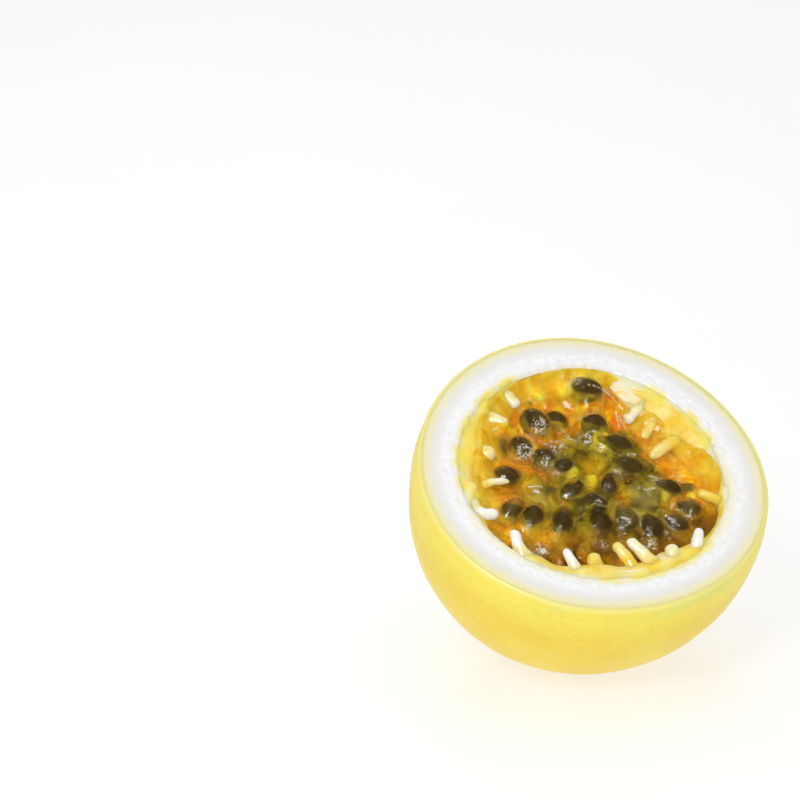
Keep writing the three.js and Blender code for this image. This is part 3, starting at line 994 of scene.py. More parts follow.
def jelly_finish():
    finish = Finish("jelly")
    wall, bead_share = finish.attribute("wall"), finish.attribute("bead")
    crumpled, cloudy = finish.attribute("crumpled"), finish.attribute("cloudy")
    over_seed, sac_edge = finish.attribute("over_seed"), finish.attribute("sac_edge")
    torn = finish.attribute("torn")
    # Colour, from deep down to the surface
    tone = finish.plus(finish.attribute("sac_tone"), finish.noise(2.4, 1, 0.8))
    olive = finish.mix(finish.ramp(tone, 0.4, 1.15), *JELLY_OLIVES)
    streaks = finish.ramp(finish.fibres("streak", 1.0, 0.3), 0.35, 0.65)
    amber = finish.mix(streaks, *JELLY_AMBERS)
    juice = juice_colour(finish, amber, olive, JELLY_SHADES)
    juice = finish.mix(wall, juice, finish.mix(streaks, *JELLY_BY_WALL))
    # Painted shade: darker where the jelly lies in a crease between sacs
    juice = finish.mix(finish.times(finish.attribute("crease"), 0.45), juice, PAINTED_CREASE_SHADE)
    juice = finish.mix(finish.times(over_seed, 0.8), juice, OVER_SEED)
    juice = finish.mix(finish.times(cloudy, 0.7), juice, CLOUDY)
    # Painted glints: white flecks where the skin is crumpled and along the glint threads; they also make
    # the jelly less clear
    painted_glints = finish.times(crumpled, finish.ramp(finish.noise(0.8, 2, 1.2), 0.48, 0.6))
    broken = finish.ramp(finish.noise(1.1, 1, 0.8), 0.4, 0.6)
    painted_glints = finish.math("MAXIMUM", painted_glints, finish.times(finish.attribute("glint"), broken))
    finish.drive("Base Color", finish.mix(painted_glints, juice, PAINTED_GLINT_WHITE))
    # How far the jelly hides what is under it, least over the seeds
    veil = finish.ramp(finish.noise(3.4, 1, 0.8), 0.35, 0.7, 0.06, 0.32)
    yellow = finish.attribute("yellow")
    veil = finish.total(veil, (yellow, 0.45), (wall, 0.5), (bead_share, 0.6), (cloudy, 0.3))
    veil = finish.times(veil, finish.ramp(over_seed, 0.4, 1.0, 1.0, 0.1))
    hazed, seed_side = finish.times(cloudy, over_seed), finish.attribute("seed_side")
    veil = finish.total(veil, (hazed, 0.1), (seed_side, 0.06), (sac_edge, 0.14), (painted_glints, 0.6))
    clearest = 0.97
    finish.drive("Transmission Weight", finish.math("SUBTRACT", clearest, veil))
    # Wetness, and relief where the flesh is torn or crumpled
    finish.drive("Roughness", finish.ramp(torn, 0.0, 1.0, 0.2, 0.07))
    wetter = finish.math("MAXIMUM", crumpled, sac_edge)
    finish.drive("Coat Weight", finish.ramp(wetter, 0.0, 0.8, 0.35, 1.0))
    finish.set(ior=1.15, coat_roughness=0.05)
    finish.scatter(0.4, (2.0, 1.4, 0.3))
    facets = finish.times(finish.noise(1.2, 2, 0.8), finish.ramp(torn, 0.0, 1.0, 0.1, 1.0))
    crackle = finish.bump(finish.times(finish.noise(0.7, 1, 1.0), crumpled), 0.6, 0.8)
    wet = finish.bump(facets, 0.5, 0.9, crackle)
    finish.drive("Normal", wet)
    finish.drive("Coat Normal", wet)
    return finish.material


# ------------------------------------------------------------------ the pieces

# In mm: how far below its edge the lining's inner face starts, and the least width of its top
LINING_STEP = 0.25
LINING_LIP = 0.6


def sides_of(count):
    """Angles evenly round the axis, as one row."""
    return np.linspace(0, 2 * math.pi, count, endpoint=False)[None, :]


def egg_rings(fruit, radius, length, angle, count):
    """Rings up an egg from its closed end to the cut, closest together at the end."""
    top = math.asin(fruit.cut / length)
    climb = np.linspace(-math.pi / 2, top, count)[:, None]
    height = np.sin(climb) * length - fruit.cut
    out = fruit.egg(radius, length, angle, height)
    return out, np.broadcast_to(height, out.shape)


def flattened(points, fruit, floor_mm):
    """Points of the fruit's frame, none of them lower than this over the table."""
    turn = np.array(fruit.lay_down()) / MM
    up = turn[2, :3]
    over = points @ up + turn[2, 3]
    return points + np.maximum(0, floor_mm - over)[..., None] * up


def make_peel(fruit, detail, colours):
    rings_up, rings_inside, rings_across = 170, 60, 3
    edge_height, edge_roll, face_sunk, inside_over_table = 1.1, 0.4, 0.02, 0.35
    angle = sides_of(detail)
    out, height = egg_rings(fruit, fruit.radius, fruit.length, angle, rings_up)
    turned_in = np.clip(1 + height / edge_height, 0, 1)
    rolled = edge_roll * fruit.peel * (1 - np.sqrt(1 - 0.98 * turned_in**2))
    skin = round_points(angle, out - rolled, height)
    ways = skin / np.linalg.norm(skin, axis=-1, keepdims=True)
    dents = 0.13 * layered(skin, 9, 2, 3) + 0.025 * noise(skin, 2.2, 5)
    skin = skin + ways * ((1 - 0.7 * turned_in) * dents)[..., None]
    skin = flattened(skin, fruit, 0)
    inner_radius, inner_length = fruit.radius - fruit.peel, fruit.length - fruit.peel
    edge = fruit.egg(inner_radius, inner_length, angle, 0.0)
    across = np.linspace(0.3, 0.05, rings_across)[:, None]
    face = round_points(angle, edge + across * fruit.peel, -face_sunk)
    out, height = egg_rings(fruit, inner_radius, inner_length, angle, rings_inside)
    inside = flattened(round_points(angle, out, height), fruit, inside_over_table)[::-1]
    rings = np.concatenate([skin, face, inside])
    shape = revolved("peel", rings)
    keep_on_rings(shape, rim=np.clip(-rings[..., 2], 0, 10))
    return finished(shape, fruit, peel_finish(colours), ["rind"])


def make_pith(fruit, detail, colours):
    rings_up, rings_across = 40, 56
    lap, outside_over_table, inside_sunk = 0.1, 0.4, 0.55
    angle = sides_of(detail)
    outer_radius, outer_length = fruit.radius - fruit.peel + lap, fruit.length - fruit.peel + lap
    out, height = egg_rings(fruit, outer_radius, outer_length, angle, rings_up)
    outside = flattened(round_points(angle, out, height), fruit, outside_over_table)[:-1]
    outer = fruit.egg(outer_radius, outer_length, angle, 0.0)
    inner = fruit.egg(fruit.cavity_radius, fruit.cavity_length, angle, 0.0)
    across = np.linspace(0.0, 1.0, rings_across)[:, None]
    face = round_points(angle, outer + (inner - outer) * across, 0.0)
    # The cut is finely grained, rougher where it is wet, and slopes down to the lining
    wet = smoothstep(0.42, 0.62, across + 0.12 * noise(face, 3, 5))
    relief = 0.05 * layered(face, 1.8, 2, 7) + wet * (0.06 + 0.13 * layered(face, 0.8, 2, 9))
    relief = relief - 0.45 * smoothstep(0.86, 1.0, across)
    face[..., 2] += relief * smoothstep(0.0, 0.08, across)
    out, height = egg_rings(fruit, fruit.cavity_radius, fruit.cavity_length, angle, rings_up)
    inside = round_points(angle, out, height)[::-1]
    inside[0, :, 2] = -inside_sunk
    rings = np.concatenate([outside, face, inside])
    on_face = np.broadcast_to(across, face.shape[:2])
    share = np.concatenate([np.zeros(outside.shape[:2]), on_face, np.ones(inside.shape[:2])])
    turn = np.arctan2(rings[..., 1], rings[..., 0])
    shape = revolved("pith", rings)
    yolk = spotted(rings[..., 0], rings[..., 1], YOLK_SPOTS)
    keep_on_rings(shape, across=share, yolk=yolk, near=smoothstep(0.3, -0.4, np.sin(turn)))
    return finished(shape, fruit, pith_finish(colours), ["rind"])


def mounds(points):
    """How far the lining swells where each stalk leaves it and at its cushions."""
    height, spread, most = 0.8, 1.8, 1.4
    total = np.zeros(points.shape[:-1])
    for root, _, _, share, _ in STALKS:
        away = np.linalg.norm(points - np.array(root), axis=-1)
        total += height * share * bell(away, spread * share)
    total = np.minimum(total, most)
    for middle, reach, swell in CUSHIONS:
        total += swell * bell(np.linalg.norm(points - np.array(middle), axis=-1), reach)
    return total


def lining_edge(fruit, angle, rim, lap):
    """The lining's inner edge: its height, its distance from the axis, and how ragged it is."""
    slope, band = np.sin(angle), fruit.band(angle)
    low_side, far_side = smoothstep(-0.2, -0.6, slope), smoothstep(-0.35, 0.1, slope)
    height = -1.2 - 0.2 * band - 0.5 * (1 - band) * low_side - 0.6 * far_side
    cushion_out, cushion_share = 23, 0.4
    for (middle_x, middle_y, _), reach, swell in CUSHIONS:
        off = angle - math.atan2(middle_y, middle_x)
        chord = cushion_out * np.sin(off / 2) * 2
        height = height + cushion_share * swell * bell(chord, reach)
    out = fruit.hollow(angle, height)
    ragged = 0.3 * layered(round_points(angle, out, 0.0), 4.0, 2, 21)
    out = out + ragged - mounds(round_points(angle, out, height - LINING_STEP))
    return height, np.minimum(out, rim - lap - LINING_LIP), ragged


def lining_top(angle, rim, inner, edge_height):
    """Rings over the lining's top, from the pith to its inner edge."""
    across = np.linspace(0.02, 1, 18)[:, None]
    top = round_points(angle, rim + (inner - rim) * across, edge_height * across**1.5)
    rough = smoothstep(0.3, 0.7, across)
    top[..., 2] += 0.1 * rough * layered(top, 2.4, 2, 23) - 0.12 - 0.3 * smoothstep(0.2, 0.0, across)
    for root, _, _, share, _ in STALKS:
        away = np.hypot(top[..., 0] - root[0], top[..., 1] - root[1])
        top[..., 2] += 0.7 * bell(away, 1.5 * share) * smoothstep(0.1, 0.6, across)
    return top


def lining_wall(fruit, angle, edge_height, ragged):
    """Rings down the lining's inner face, with its swellings, and their heights."""
    depth = np.linspace(LINING_STEP, 13, 70)[:, None]
    height = edge_height - depth
    out = fruit.hollow(angle, height) + ragged * np.exp(-depth / 2)
    wall = round_points(angle, out, height)
    swell = (0.25 + 0.3 * fruit.band(angle)) * layered(wall, 3.0, 3, 25)
    thinnest = fruit.egg(fruit.cavity_radius, fruit.cavity_length, angle, height) - 0.35
    return round_points(angle, np.minimum(out + swell - mounds(wall), thinnest), height), height


def make_lining(fruit, detail, colours):
    tuck, rings_up, rings_in_bowl, juice_level = 0.05, 24, 18, -3.0
    angle = sides_of(detail)
    out, height = egg_rings(fruit, fruit.cavity_radius - tuck, fruit.cavity_length - tuck, angle, rings_up)
    outside = round_points(angle, out, height)[:-1]
    lap = 1.1 + 0.7 * smoothstep(-0.2, -0.6, np.sin(angle))
    rim = lap + fruit.egg(fruit.cavity_radius, fruit.cavity_length, angle, 0.0)
    edge_height, inner, ragged = lining_edge(fruit, angle, rim, lap)
    top = lining_top(angle, rim, inner, edge_height)
    wall, wall_height = lining_wall(fruit, angle, edge_height, ragged)
    lowest = fruit.lining - fruit.cavity_length - fruit.cut + 0.3
    share = np.linspace(0, 1, rings_in_bowl)[1:, None]
    fall = wall_height[-1:] + (lowest - wall_height[-1:]) * np.sin(share * math.pi / 2)
    bowl = round_points(angle, fruit.hollow(angle, fall), fall)
    bowl[-1, :, :2] = 0
    rings = np.concatenate([outside, top, wall, bowl])
    shape = revolved("membrane", rings)
    x, y, height = np.moveaxis(rings, -1, 0)
    out = np.hypot(x, y)
    shore = round_points(angle, fruit.hollow(angle, juice_level), juice_level)
    level = fruit.bed_top(shore[..., 0], shore[..., 1]) + fruit.rim_rise(shore[..., 0], shore[..., 1])
    keep_on_rings(
        shape,
        from_rim=np.clip(rim - out - height, 0, 9),
        white=spotted(x, y, WHITE_FLESH),
        yolk=spotted(x, y, YOLK_SPOTS),
        soaked=spotted(x, y, SOAKED_SPOTS),
        over_juice=height - level,
    )
    # Fibres run round the lining, so this changes slowly that way and fast down it
    grain = (x / 5, y / 5, (out - height) / 0.75)
    set_vectors(shape, "grain", [ring_values(column) for column in grain])
    return finished(shape, fruit, lining_finish(colours), ["lining"])


def disc_grid(count):
    """A square grid of points mapped evenly onto a disc of radius 1."""
    line = np.linspace(-1, 1, count)
    u, v = np.meshgrid(line, line, indexing="ij")
    return u * np.sqrt(1 - v * v / 2), v * np.sqrt(1 - u * u / 2)


def grid_border(count):
    """Numbers of the border points of a square grid, in order round it."""
    index = np.arange(count * count).reshape(count, count)
    return np.concatenate([index[:-1, 0], index[-1, :-1], index[:0:-1, -1], index[0, :0:-1]])


def slab(name, top, skirt_rings):
    """A closed body with a square grid of points as its top and rings below its border."""
    count = top.shape[0]
    border = grid_border(count)
    sides = len(border)
    points = [top.reshape(-1, 3)] + list(skirt_rings)
    middle = skirt_rings[-1].mean(0)[None]
    vertices = np.vstack(points + [middle])
    index = np.arange(count * count).reshape(count, count)
    quads = np.stack([index[:-1, :-1], index[1:, :-1], index[1:, 1:], index[:-1, 1:]], axis=-1)
    faces = quads.reshape(-1, 4).tolist()
    previous = border
    for ring in range(len(skirt_rings)):
        current = count * count + ring * sides + np.arange(sides)
        for side in range(sides):
            turn = (side + 1) % sides
            faces.append((int(previous[turn]), int(previous[side]), int(current[side]), int(current[turn])))
        previous = current
    for side in range(sides):
        faces.append((int(previous[side]), len(vertices) - 1, int(previous[(side + 1) % sides])))
    return new_object(name, vertices, faces)


def pulp_surface(fruit, count, margin, height_at):
    """A grid of points over the pulp, out to the lining, at heights from height_at(x, y)."""
    u, v = disc_grid(count)
    angle, share = np.arctan2(v, u), np.hypot(u, v)
    out = share * fruit.hollow(angle, -4.0, margin)
    height = height_at(out * np.cos(angle), out * np.sin(angle))
    wall = fruit.hollow(angle, height, margin)
    x, y = share * wall * np.cos(angle), share * wall * np.sin(angle)
    return np.stack([x, y, height_at(x, y)], axis=-1)


def skirt_below(fruit, top, heights, margin):
    """Rings under a grid's border, along the lining, at these heights."""
    border = top.reshape(-1, 3)[grid_border(top.shape[0])]
    angle = np.arctan2(border[:, 1], border[:, 0])
    return [round_points(angle, fruit.hollow(angle, height, margin), height) for height in heights]


def spotted(x, y, spots):
    """1 in the middle of each spot, given as x, y and reach, falling away to 0 round it."""
    share = np.zeros(np.shape(x))
    for middle_x, middle_y, reach in spots:
        away = ((x - middle_x) ** 2 + (y - middle_y) ** 2) / reach**2
        share = np.maximum(share, np.exp(-(away**1.5)))
    return share


def threaded(x, y, threads, reach):
    """1 along each thread, given as the points it runs through, falling away to 0 beside it."""
    nearest = np.full(np.shape(x), 99.0)
    for thread in threads:
        for (start_x, start_y), (end_x, end_y) in zip(thread[:-1], thread[1:]):
            way_x, way_y = end_x - start_x, end_y - start_y
            along = ((x - start_x) * way_x + (y - start_y) * way_y) / (way_x**2 + way_y**2)
            along = np.clip(along, 0, 1)
            away = np.hypot(x - start_x - along * way_x, y - start_y - along * way_y)
            nearest = np.minimum(nearest, away)
    return bell(nearest, reach)


def bead(x, y):
    """1 in the middle of the bead of jelly, falling away to 0 round it."""
    middle_x, middle_y, across, along, _ = BEAD
    return np.exp(-((((x - middle_x) / across) ** 2 + ((y - middle_y) / along) ** 2) ** 2))


def calm(x, y):
    """1 where the sacs lie smooth and full and 0 where the flesh is torn."""
    outside = smoothstep(11.5, 17.0, np.hypot(x, y)) * smoothstep(-11.0, -6.0, y)
    return np.maximum(spotted(x, y, FULL_SACS), 0.85 * outside)


def crease_depth(fruit, x, y):
    """How deep each point lies in a crease between sacs, from 0 to 1."""
    around = np.zeros(np.shape(x))
    reach, ways = 0.9, 8
    for turn in np.linspace(0, 2 * math.pi, ways, endpoint=False):
        around += fruit.pulp_top(x + reach * math.cos(turn), y + reach * math.sin(turn)) / ways
    return smoothstep(0.06, 0.4, around - fruit.pulp_top(x, y))


def mark_juice(shape, fruit):
    """Keeps at each point how much of each kind of juice is there, and how near it is to a seed,
    to the edge of a sac and to the lining."""
    x, y, height = points_of(shape).T
    spot, angle = flat_points(x, y), np.arctan2(y, x)
    near_x, near_y = blurred(x, y, 3.0, 0.8, 43)
    kept = {
        "gold": spotted(near_x, near_y, GOLD_SPOTS),
        "deep": spotted(near_x, near_y, DEEP_SPOTS),
        "cloudy": spotted(near_x, near_y, CLOUDY_SPOTS),
        "red": threaded(near_x, near_y, RED_THREADS, 0.7),
        "bead": bead(x, y),
    }
    # Olive in the middle, rusty where that ends, and a painted brown shade towards the low edge
    from_middle = np.hypot((x - 1.0) * 0.95, (y + 1.0) * 0.95)
    olive = smoothstep(17.5, 11.5, from_middle + 2.4 * noise(spot, 5, 41))
    clumps = smoothstep(-0.35, 0.45, noise(spot, 4.0, 48) + 0.5 * noise(spot, 1.8, 49))
    rust = 0.7 * (4 * olive * (1 - olive) * clumps * smoothstep(-10.0, -5.0, y))
    low = smoothstep(-8.5, -14.0, y + 1.2 * noise(spot, 3, 42)) * 0.55
    kept["olive"] = olive
    kept["rust"] = np.maximum(rust, 0.95 * threaded(near_x, near_y, RUST_THREADS, 1.0))
    kept["brown"] = np.maximum(low, spotted(near_x, near_y, PAINTED_SHADE_SPOTS))
    yellow_threads = threaded(x, y, YELLOW_THREADS, 0.62)
    kept["yellow"] = np.maximum(spotted(near_x, near_y, YELLOW_SPOTS), yellow_threads)
    # Seeds and sacs
    nearest = fruit.seed_cover(x, y, 0.0)[1]
    kept["over_seed"] = smoothstep(1.3, 0.7, nearest)
    kept["seed_side"] = smoothstep(0.75, 1.05, nearest) * smoothstep(1.8, 1.1, nearest)
    tops, edges, tones = fruit.sac_cover(x, y)
    shown = smoothstep(-0.2, 0.3, tops - fruit.bed_top(x, y))
    rim = shown * smoothstep(0.6, 0.8, edges) * smoothstep(0.98, 0.88, edges)
    kept["sac_edge"] = rim * calm(x, y) * smoothstep(-3.0, 3.0, y - 2 * noise(spot, 3, 45) + 8)
    kept["sac_tone"] = shown * tones
    # The lining's glow, all round but on the low side
    from_wall = fruit.hollow(angle, height) - np.hypot(x, y)
    upper = smoothstep(-0.55, -0.1, np.sin(angle) - 0.15 * noise(spot, 5, 46))
    kept["wall"] = smoothstep(5.5, 0.3, from_wall + 1.6 * noise(spot, 3.2, 47)) * upper
    for label, values in kept.items():
        set_attribute(shape, label, values)
    # Streaks run out from the middle, so this changes fast round it and slowly outwards
    set_vectors(shape, "streak", [14 * np.cos(angle), 14 * np.sin(angle), np.hypot(x, y) / 5])


def make_bed(fruit, colours):
    sink, pocket_depth, margin, skirt_top, skirt_rings = 1.5, 1.6, -0.5, -8, 16

    def height_at(x, y):
        nearest = fruit.seed_cover(x, y, 0.0)[1]
        pocket = pocket_depth * smoothstep(1.7, 1.0, nearest)
        return fruit.pulp_top(x, y) - sink - pocket + 0.3 * noise(flat_points(x, y), 2.8, 31)

    top = pulp_surface(fruit, 200, margin, height_at)
    deepest = -fruit.cut - fruit.cavity_length + fruit.lining + 0.6
    down = np.sin(np.linspace(0.0, math.pi / 2, skirt_rings))
    heights = skirt_top + (deepest - skirt_top) * down
    shape = slab("pulp_bed", top, skirt_below(fruit, top, heights, margin))
    mark_juice(shape, fruit)
    return finished(shape, fruit, bed_finish(colours), ["pulp"])


def jelly_height(fruit, x, y):
    """Height of the jelly: torn into folds in the middle, smooth over full sacs and seeds."""
    skin, soft = 0.7, 0.5
    spot, bent = flat_points(x, y), flat_points(*blurred(x, y, 3.4, 1.0, 51))
    folds = 1 - np.sqrt(0.02 + noise(bent * (1, 1.5, 1), 3.0, 53) ** 2)
    wrinkle = 0.7 * (folds - 0.6) + 0.4 * noise(bent, 1.7, 54) + 0.12 * noise(spot, 0.8, 55)
    cover, nearest = fruit.seed_cover(x, y, skin)
    wrinkle = wrinkle * (1 - 0.85 * calm(x, y)) * (0.5 + 0.5 * smoothstep(0.8, 1.5, nearest))
    top = fruit.pulp_top(x, y) + wrinkle + fruit.meniscus(x, y)
    return higher(top, cover, soft) + BEAD[-1] * bead(x, y)


def make_jelly(fruit):
    margin, skirt_heights, painted_glint_reach = -0.55, (-6.5, -8.5), 0.22
    top = pulp_surface(fruit, 290, margin, lambda x, y: jelly_height(fruit, x, y))
    shape = slab("jelly", top, skirt_below(fruit, top, skirt_heights, margin))
    mark_juice(shape, fruit)
    x, y, _ = points_of(shape).T
    set_attribute(shape, "torn", 1 - calm(x, y))
    # Crumpled spots, and the threads along which glints are painted
    set_attribute(shape, "crumpled", spotted(x, y, CRUMPLES_WITH_PAINTED_GLINTS))
    set_attribute(shape, "glint", threaded(x, y, PAINTED_GLINT_THREADS, painted_glint_reach))
    # How deep each point lies in a crease, for the painted shade there
    set_attribute(shape, "crease", crease_depth(fruit, x, y))
    return finished(shape, fruit, jelly_finish(), ["pulp"])


# -------------------------------------------------- pieces made by Geometry Nodes

# How often a seed's bend changes, per mm, and how near points of a swept path are merged, in mm
SEED_BENDS_PER_MM = 0.35
MERGE_REACH = 0.01
STALK_STEPS = 26


class Tree(NodeMaker):
    """A Geometry Nodes tree under construction, with a named input for each size."""

    def __init__(self, name, inputs):
        super().__init__(bpy.data.node_groups.new(name, "GeometryNodeTree"))
        self.tree.is_modifier = True
        self.tree.interface.new_socket("Geometry", in_out="OUTPUT", socket_type="NodeSocketGeometry")
        self.sockets = {}
        for label, kind in {"Geometry": "Geometry", **inputs, "Material": "Material"}.items():
            socket = self.tree.interface.new_socket(label, in_out="INPUT", socket_type=f"NodeSocket{kind}")
            self.sockets[label] = socket.identifier
        self.entry = self.tree.nodes.new("NodeGroupInput")
        self.exit = self.tree.nodes.new("NodeGroupOutput")

    def given(self, name):
        return self.entry.outputs[name]

    def kept(self, name, kind):
        """What is kept at each point under this name."""
        made = self.node("GeometryNodeInputNamedAttribute", {"Name": name}, data_type=kind)
        return made.outputs["Attribute"]

    def position(self):
        return self.node("GeometryNodeInputPosition").outputs[0]

    def vector_math(self, operation, values):
        return self.node("ShaderNodeVectorMath", values, operation=operation).outputs[0]

    def wobble(self, scale, detail, strength):
        """A push this strong, whose way changes smoothly from place to place."""
        values = {"Vector": self.position(), "Scale": scale, "Detail": detail}
        lumps = self.node("ShaderNodeTexNoise", values).outputs["Color"]
        centred = self.vector_math("SUBTRACT", {0: lumps, 1: (0.5, 0.5, 0.5)})
        return self.vector_math("SCALE", {0: centred, "Scale": strength})

    def finish(self, geometry, push):
        """Makes the geometry real, pushes its points, gives it its material and hands it out."""
        real = self.node("GeometryNodeRealizeInstances", {"Geometry": geometry})
        moved = self.node("GeometryNodeSetPosition", {"Geometry": real.outputs[0], "Offset": push})
        values = {"Geometry": moved.outputs[0], "Material": self.given("Material")}
        coated = self.node("GeometryNodeSetMaterial", values)
        self.join(coated.outputs[0], self.exit.inputs["Geometry"])


def scatter_tree():
    """Copies one shape to every point, and bends and pits the copies."""
    inputs = {"Shape": "Object", "Pit size": "Float", "Pit depth": "Float", "Bend": "Float"}
    tree = Tree("seed scatter", inputs)
    shape = tree.node("GeometryNodeObjectInfo", {"Object": tree.given("Shape")})
    spin = tree.node("FunctionNodeEulerToRotation", {"Euler": tree.kept("turn", "FLOAT_VECTOR")})
    copies = tree.node(
        "GeometryNodeInstanceOnPoints",
        {
            "Points": tree.given("Geometry"),
            "Instance": shape.outputs["Geometry"],
            "Rotation": spin.outputs[0],
            "Scale": tree.kept("size", "FLOAT_VECTOR"),
        },
    )
    finer = tree.math("DIVIDE", 1.0, tree.given("Pit size"))
    cells = tree.node("ShaderNodeTexVoronoi", {"Vector": tree.position(), "Scale": finer})
    depth = tree.times(cells.outputs["Distance"], tree.given("Pit depth"))
    facing = tree.node("GeometryNodeInputNormal").outputs[0]
    pits = tree.vector_math("SCALE", {0: facing, "Scale": depth})
    bend = tree.wobble(SEED_BENDS_PER_MM, 1.0, tree.given("Bend"))
    tree.finish(copies.outputs[0], tree.vector_math("ADD", {0: pits, 1: bend}))
    return tree


def evaluated(shape, tree, values):
    """A plain mesh of what the tree makes from this shape and these values."""
    modifier = shape.modifiers.new("maker", "NODES")
    modifier.node_group = tree.tree
    for label, value in values.items():
        modifier[tree.sockets[label]] = value
    graph = bpy.context.evaluated_depsgraph_get()
    graph.update()
    mesh = bpy.data.meshes.new_from_object(shape.evaluated_get(graph))
    shape.modifiers.clear()
    shape.data = mesh
    mesh.name = shape.name


def scattered(name, places, shape, tree, values):
    """A plain mesh of one shape at every place, each a middle, a turn and a size."""
    points = new_object(name, [place[0] for place in places])
    for label, column in (("turn", 1), ("size", 2)):
        set_vectors(points, label, list(np.array([place[column] for place in places], float).T))
    evaluated(points, tree, {"Shape": shape, **values})
    bpy.data.objects.remove(shape)
    return points


def seed_shape():
    """One seed, 1 long and lying flat: an oval that narrows to a blunt point."""
    sides, count = 28, 20
    angle = sides_of(sides)
    along = np.cos(np.linspace(math.pi, 0, count))[:, None]
    girth = np.sqrt(np.clip(1 - along**2, 0, 1)) * (1 - 0.22 * along - 0.1 * along**2)
    y = Fruit.SEED_WIDE * girth * np.cos(angle)
    z = Fruit.SEED_HIGH * girth * np.sin(angle) * (1 - 0.25 * np.abs(np.cos(angle)))
    rings = np.stack([np.broadcast_to(0.5 * along, y.shape), y, z], axis=-1)
    return revolved("one_seed", rings)


def make_seeds(fruit, colours):
    # Of the deeper seeds: how far each sinks, in mm and as a share of its length, how near an
    # empty sac one is left out, and how far each is rolled and pitched, in radians
    sink, share_sunk, left_out, roll, pitch = 2.1, 0.22, 2, 0.4, 0.3
    places = []
    for middle, way, lean, length in fruit.seeds():
        places.append((middle, (lean, 0.0, way), (length, length, length)))
    for index, (x, y) in enumerate(fruit.spiral_places()):
        if any(math.hypot(x - a, y - b) < left_out for a, b in EMPTY_SACS):
            continue
        length = fruit.seed_length * within(0.88, 1.02, index, "seed_size")
        height = float(fruit.pulp_top(x, y)) - sink - share_sunk * length
        facing = (roll * sway(index, "seed_tip"), pitch, 2 * math.pi * vary(index, "seed_turn"))
        places.append(((x, y, height), facing, (length, length, length)))
    finish = seed_finish(colours)
    values = {"Pit size": 0.9, "Pit depth": -0.16, "Bend": 0.25, "Material": finish}
    shape = scattered("seeds", places, seed_shape(), scatter_tree(), values)
    return finished(shape, fruit, finish, ["pulp"])


def sweep_tree():
    """Sweeps a round section along every path, as thick as the path's points say."""
    tree = Tree("stalk sweep", {"Sides": "Int", "Lump size": "Float", "Lump height": "Float"})
    paths = tree.node("GeometryNodeMeshToCurve", {"Mesh": tree.given("Geometry")}).outputs[0]
    values = {"Resolution": tree.given("Sides"), "Radius": 1.0}
    section = tree.node("GeometryNodeCurvePrimitiveCircle", values).outputs[0]
    values = {"Curve": paths, "Profile Curve": section, "Scale": tree.kept("girth", "FLOAT")}
    swept = tree.node("GeometryNodeCurveToMesh", values).outputs[0]
    values = {"Geometry": swept, "Distance": MERGE_REACH}
    closed = tree.node("GeometryNodeMergeByDistance", values).outputs[0]
    finer = tree.math("DIVIDE", 1.0, tree.given("Lump size"))
    tree.finish(closed, tree.wobble(finer, 1.5, tree.given("Lump height")))
    return tree


def stalk_girth(climb):
    """A stalk's half thickness from root to tip: spread at the root and blunt at the tip."""
    blunt_from, blunt_over = 0.84, 0.16
    blunt = np.clip(1 - (np.clip(climb - blunt_from, 0, 1) / blunt_over) ** 2.6, 0, 1) ** 0.45
    spread, taper = 0.6 * bell(climb, 0.34), 0.2
    girth = (1.0 - taper * climb + spread) * blunt
    girth[0] = 0
    return girth


def make_stalks(fruit, sizes):
    climb = np.sin(np.linspace(0, math.pi / 2, STALK_STEPS))
    points, edges, girths, tones = [], [], [], []
    for root, bend, tip, share, tone in STALKS:
        start, t = len(points), climb[:, None]
        path = (1 - t) ** 2 * np.array(root) + 2 * t * (1 - t) * np.array(bend) + t * t * np.array(tip)
        points.extend(path)
        edges.extend((start + step, start + step + 1) for step in range(STALK_STEPS - 1))
        girths.extend(sizes.stalk_radius / MM * share * stalk_girth(climb))
        tones.extend([tone] * STALK_STEPS)
    shape = new_object("stalks", points, edges=edges)
    for label, column in (("girth", girths), ("tone", tones), ("along", np.tile(climb, len(STALKS)))):
        set_attribute(shape, label, np.array(column))
    finish = stalk_finish()
    values = {"Sides": 24, "Lump size": 1.6, "Lump height": 0.6, "Material": finish}
    evaluated(shape, sweep_tree(), values)
    return finished(shape, fruit, finish, ["lining"])


# ------------------------------------------------------------------- the stage

# The lamps: each one's place and size, in metres, its power, in watts, and whether it only
# shows as gloss
LAMPS = (
    ("key", (-0.45, -0.55, 0.62), 0.3, 1.9, False),
    ("top", (0.1, 0.1, 0.9), 0.8, 0.8, False),
    ("softbox", (-0.45, -0.55, 0.62), 0.36, 12.0, True),
    ("back", (0.1, 0.75, 0.5), 0.3, 1.2, True),
)
LIT_POINT = Vector((0, 0, 0.03))
# How bright the surround is to the camera itself
SEEN_SURROUND = 1.05


def add_lamp(name, place, size, power, gloss_only):
    """A soft round lamp that shines on the fruit, or that only shows as gloss."""
    lamp = bpy.data.lights.new(name, "AREA")
    lamp.shape = "DISK"
    lamp.size = size
    lamp.energy = power
    shape = linked(name, lamp)
    shape.location = place
    shape.rotation_euler = (LIT_POINT - Vector(place)).to_track_quat("-Z", "Y").to_euler()
    if gloss_only:
        shape.visible_diffuse = False
        shape.visible_transmission = False


def add_camera(fruit, stage):
    flat = Vector((math.sin(-stage.azimuth), math.cos(stage.azimuth), 0))
    ahead = flat * math.cos(stage.elevation) - Vector((0, 0, math.sin(stage.elevation)))
    right = ahead.cross(Vector((0, 0, 1))).normalized()
    up = right.cross(ahead)
    face = Vector(fruit.to_table([[0, 0, 0]])[0])
    place = face - ahead * stage.distance - right * stage.aim_right + up * stage.aim_down
    camera = bpy.data.cameras.new("camera")
    camera.lens = stage.lens
    camera.sensor_width = 36
    camera.clip_start = 0.01
    shape = linked("camera", camera)
    shape.matrix_world = Matrix.Translation(place) @ Matrix((right, up, -ahead)).transposed().to_4x4()
    bpy.context.scene.camera = shape


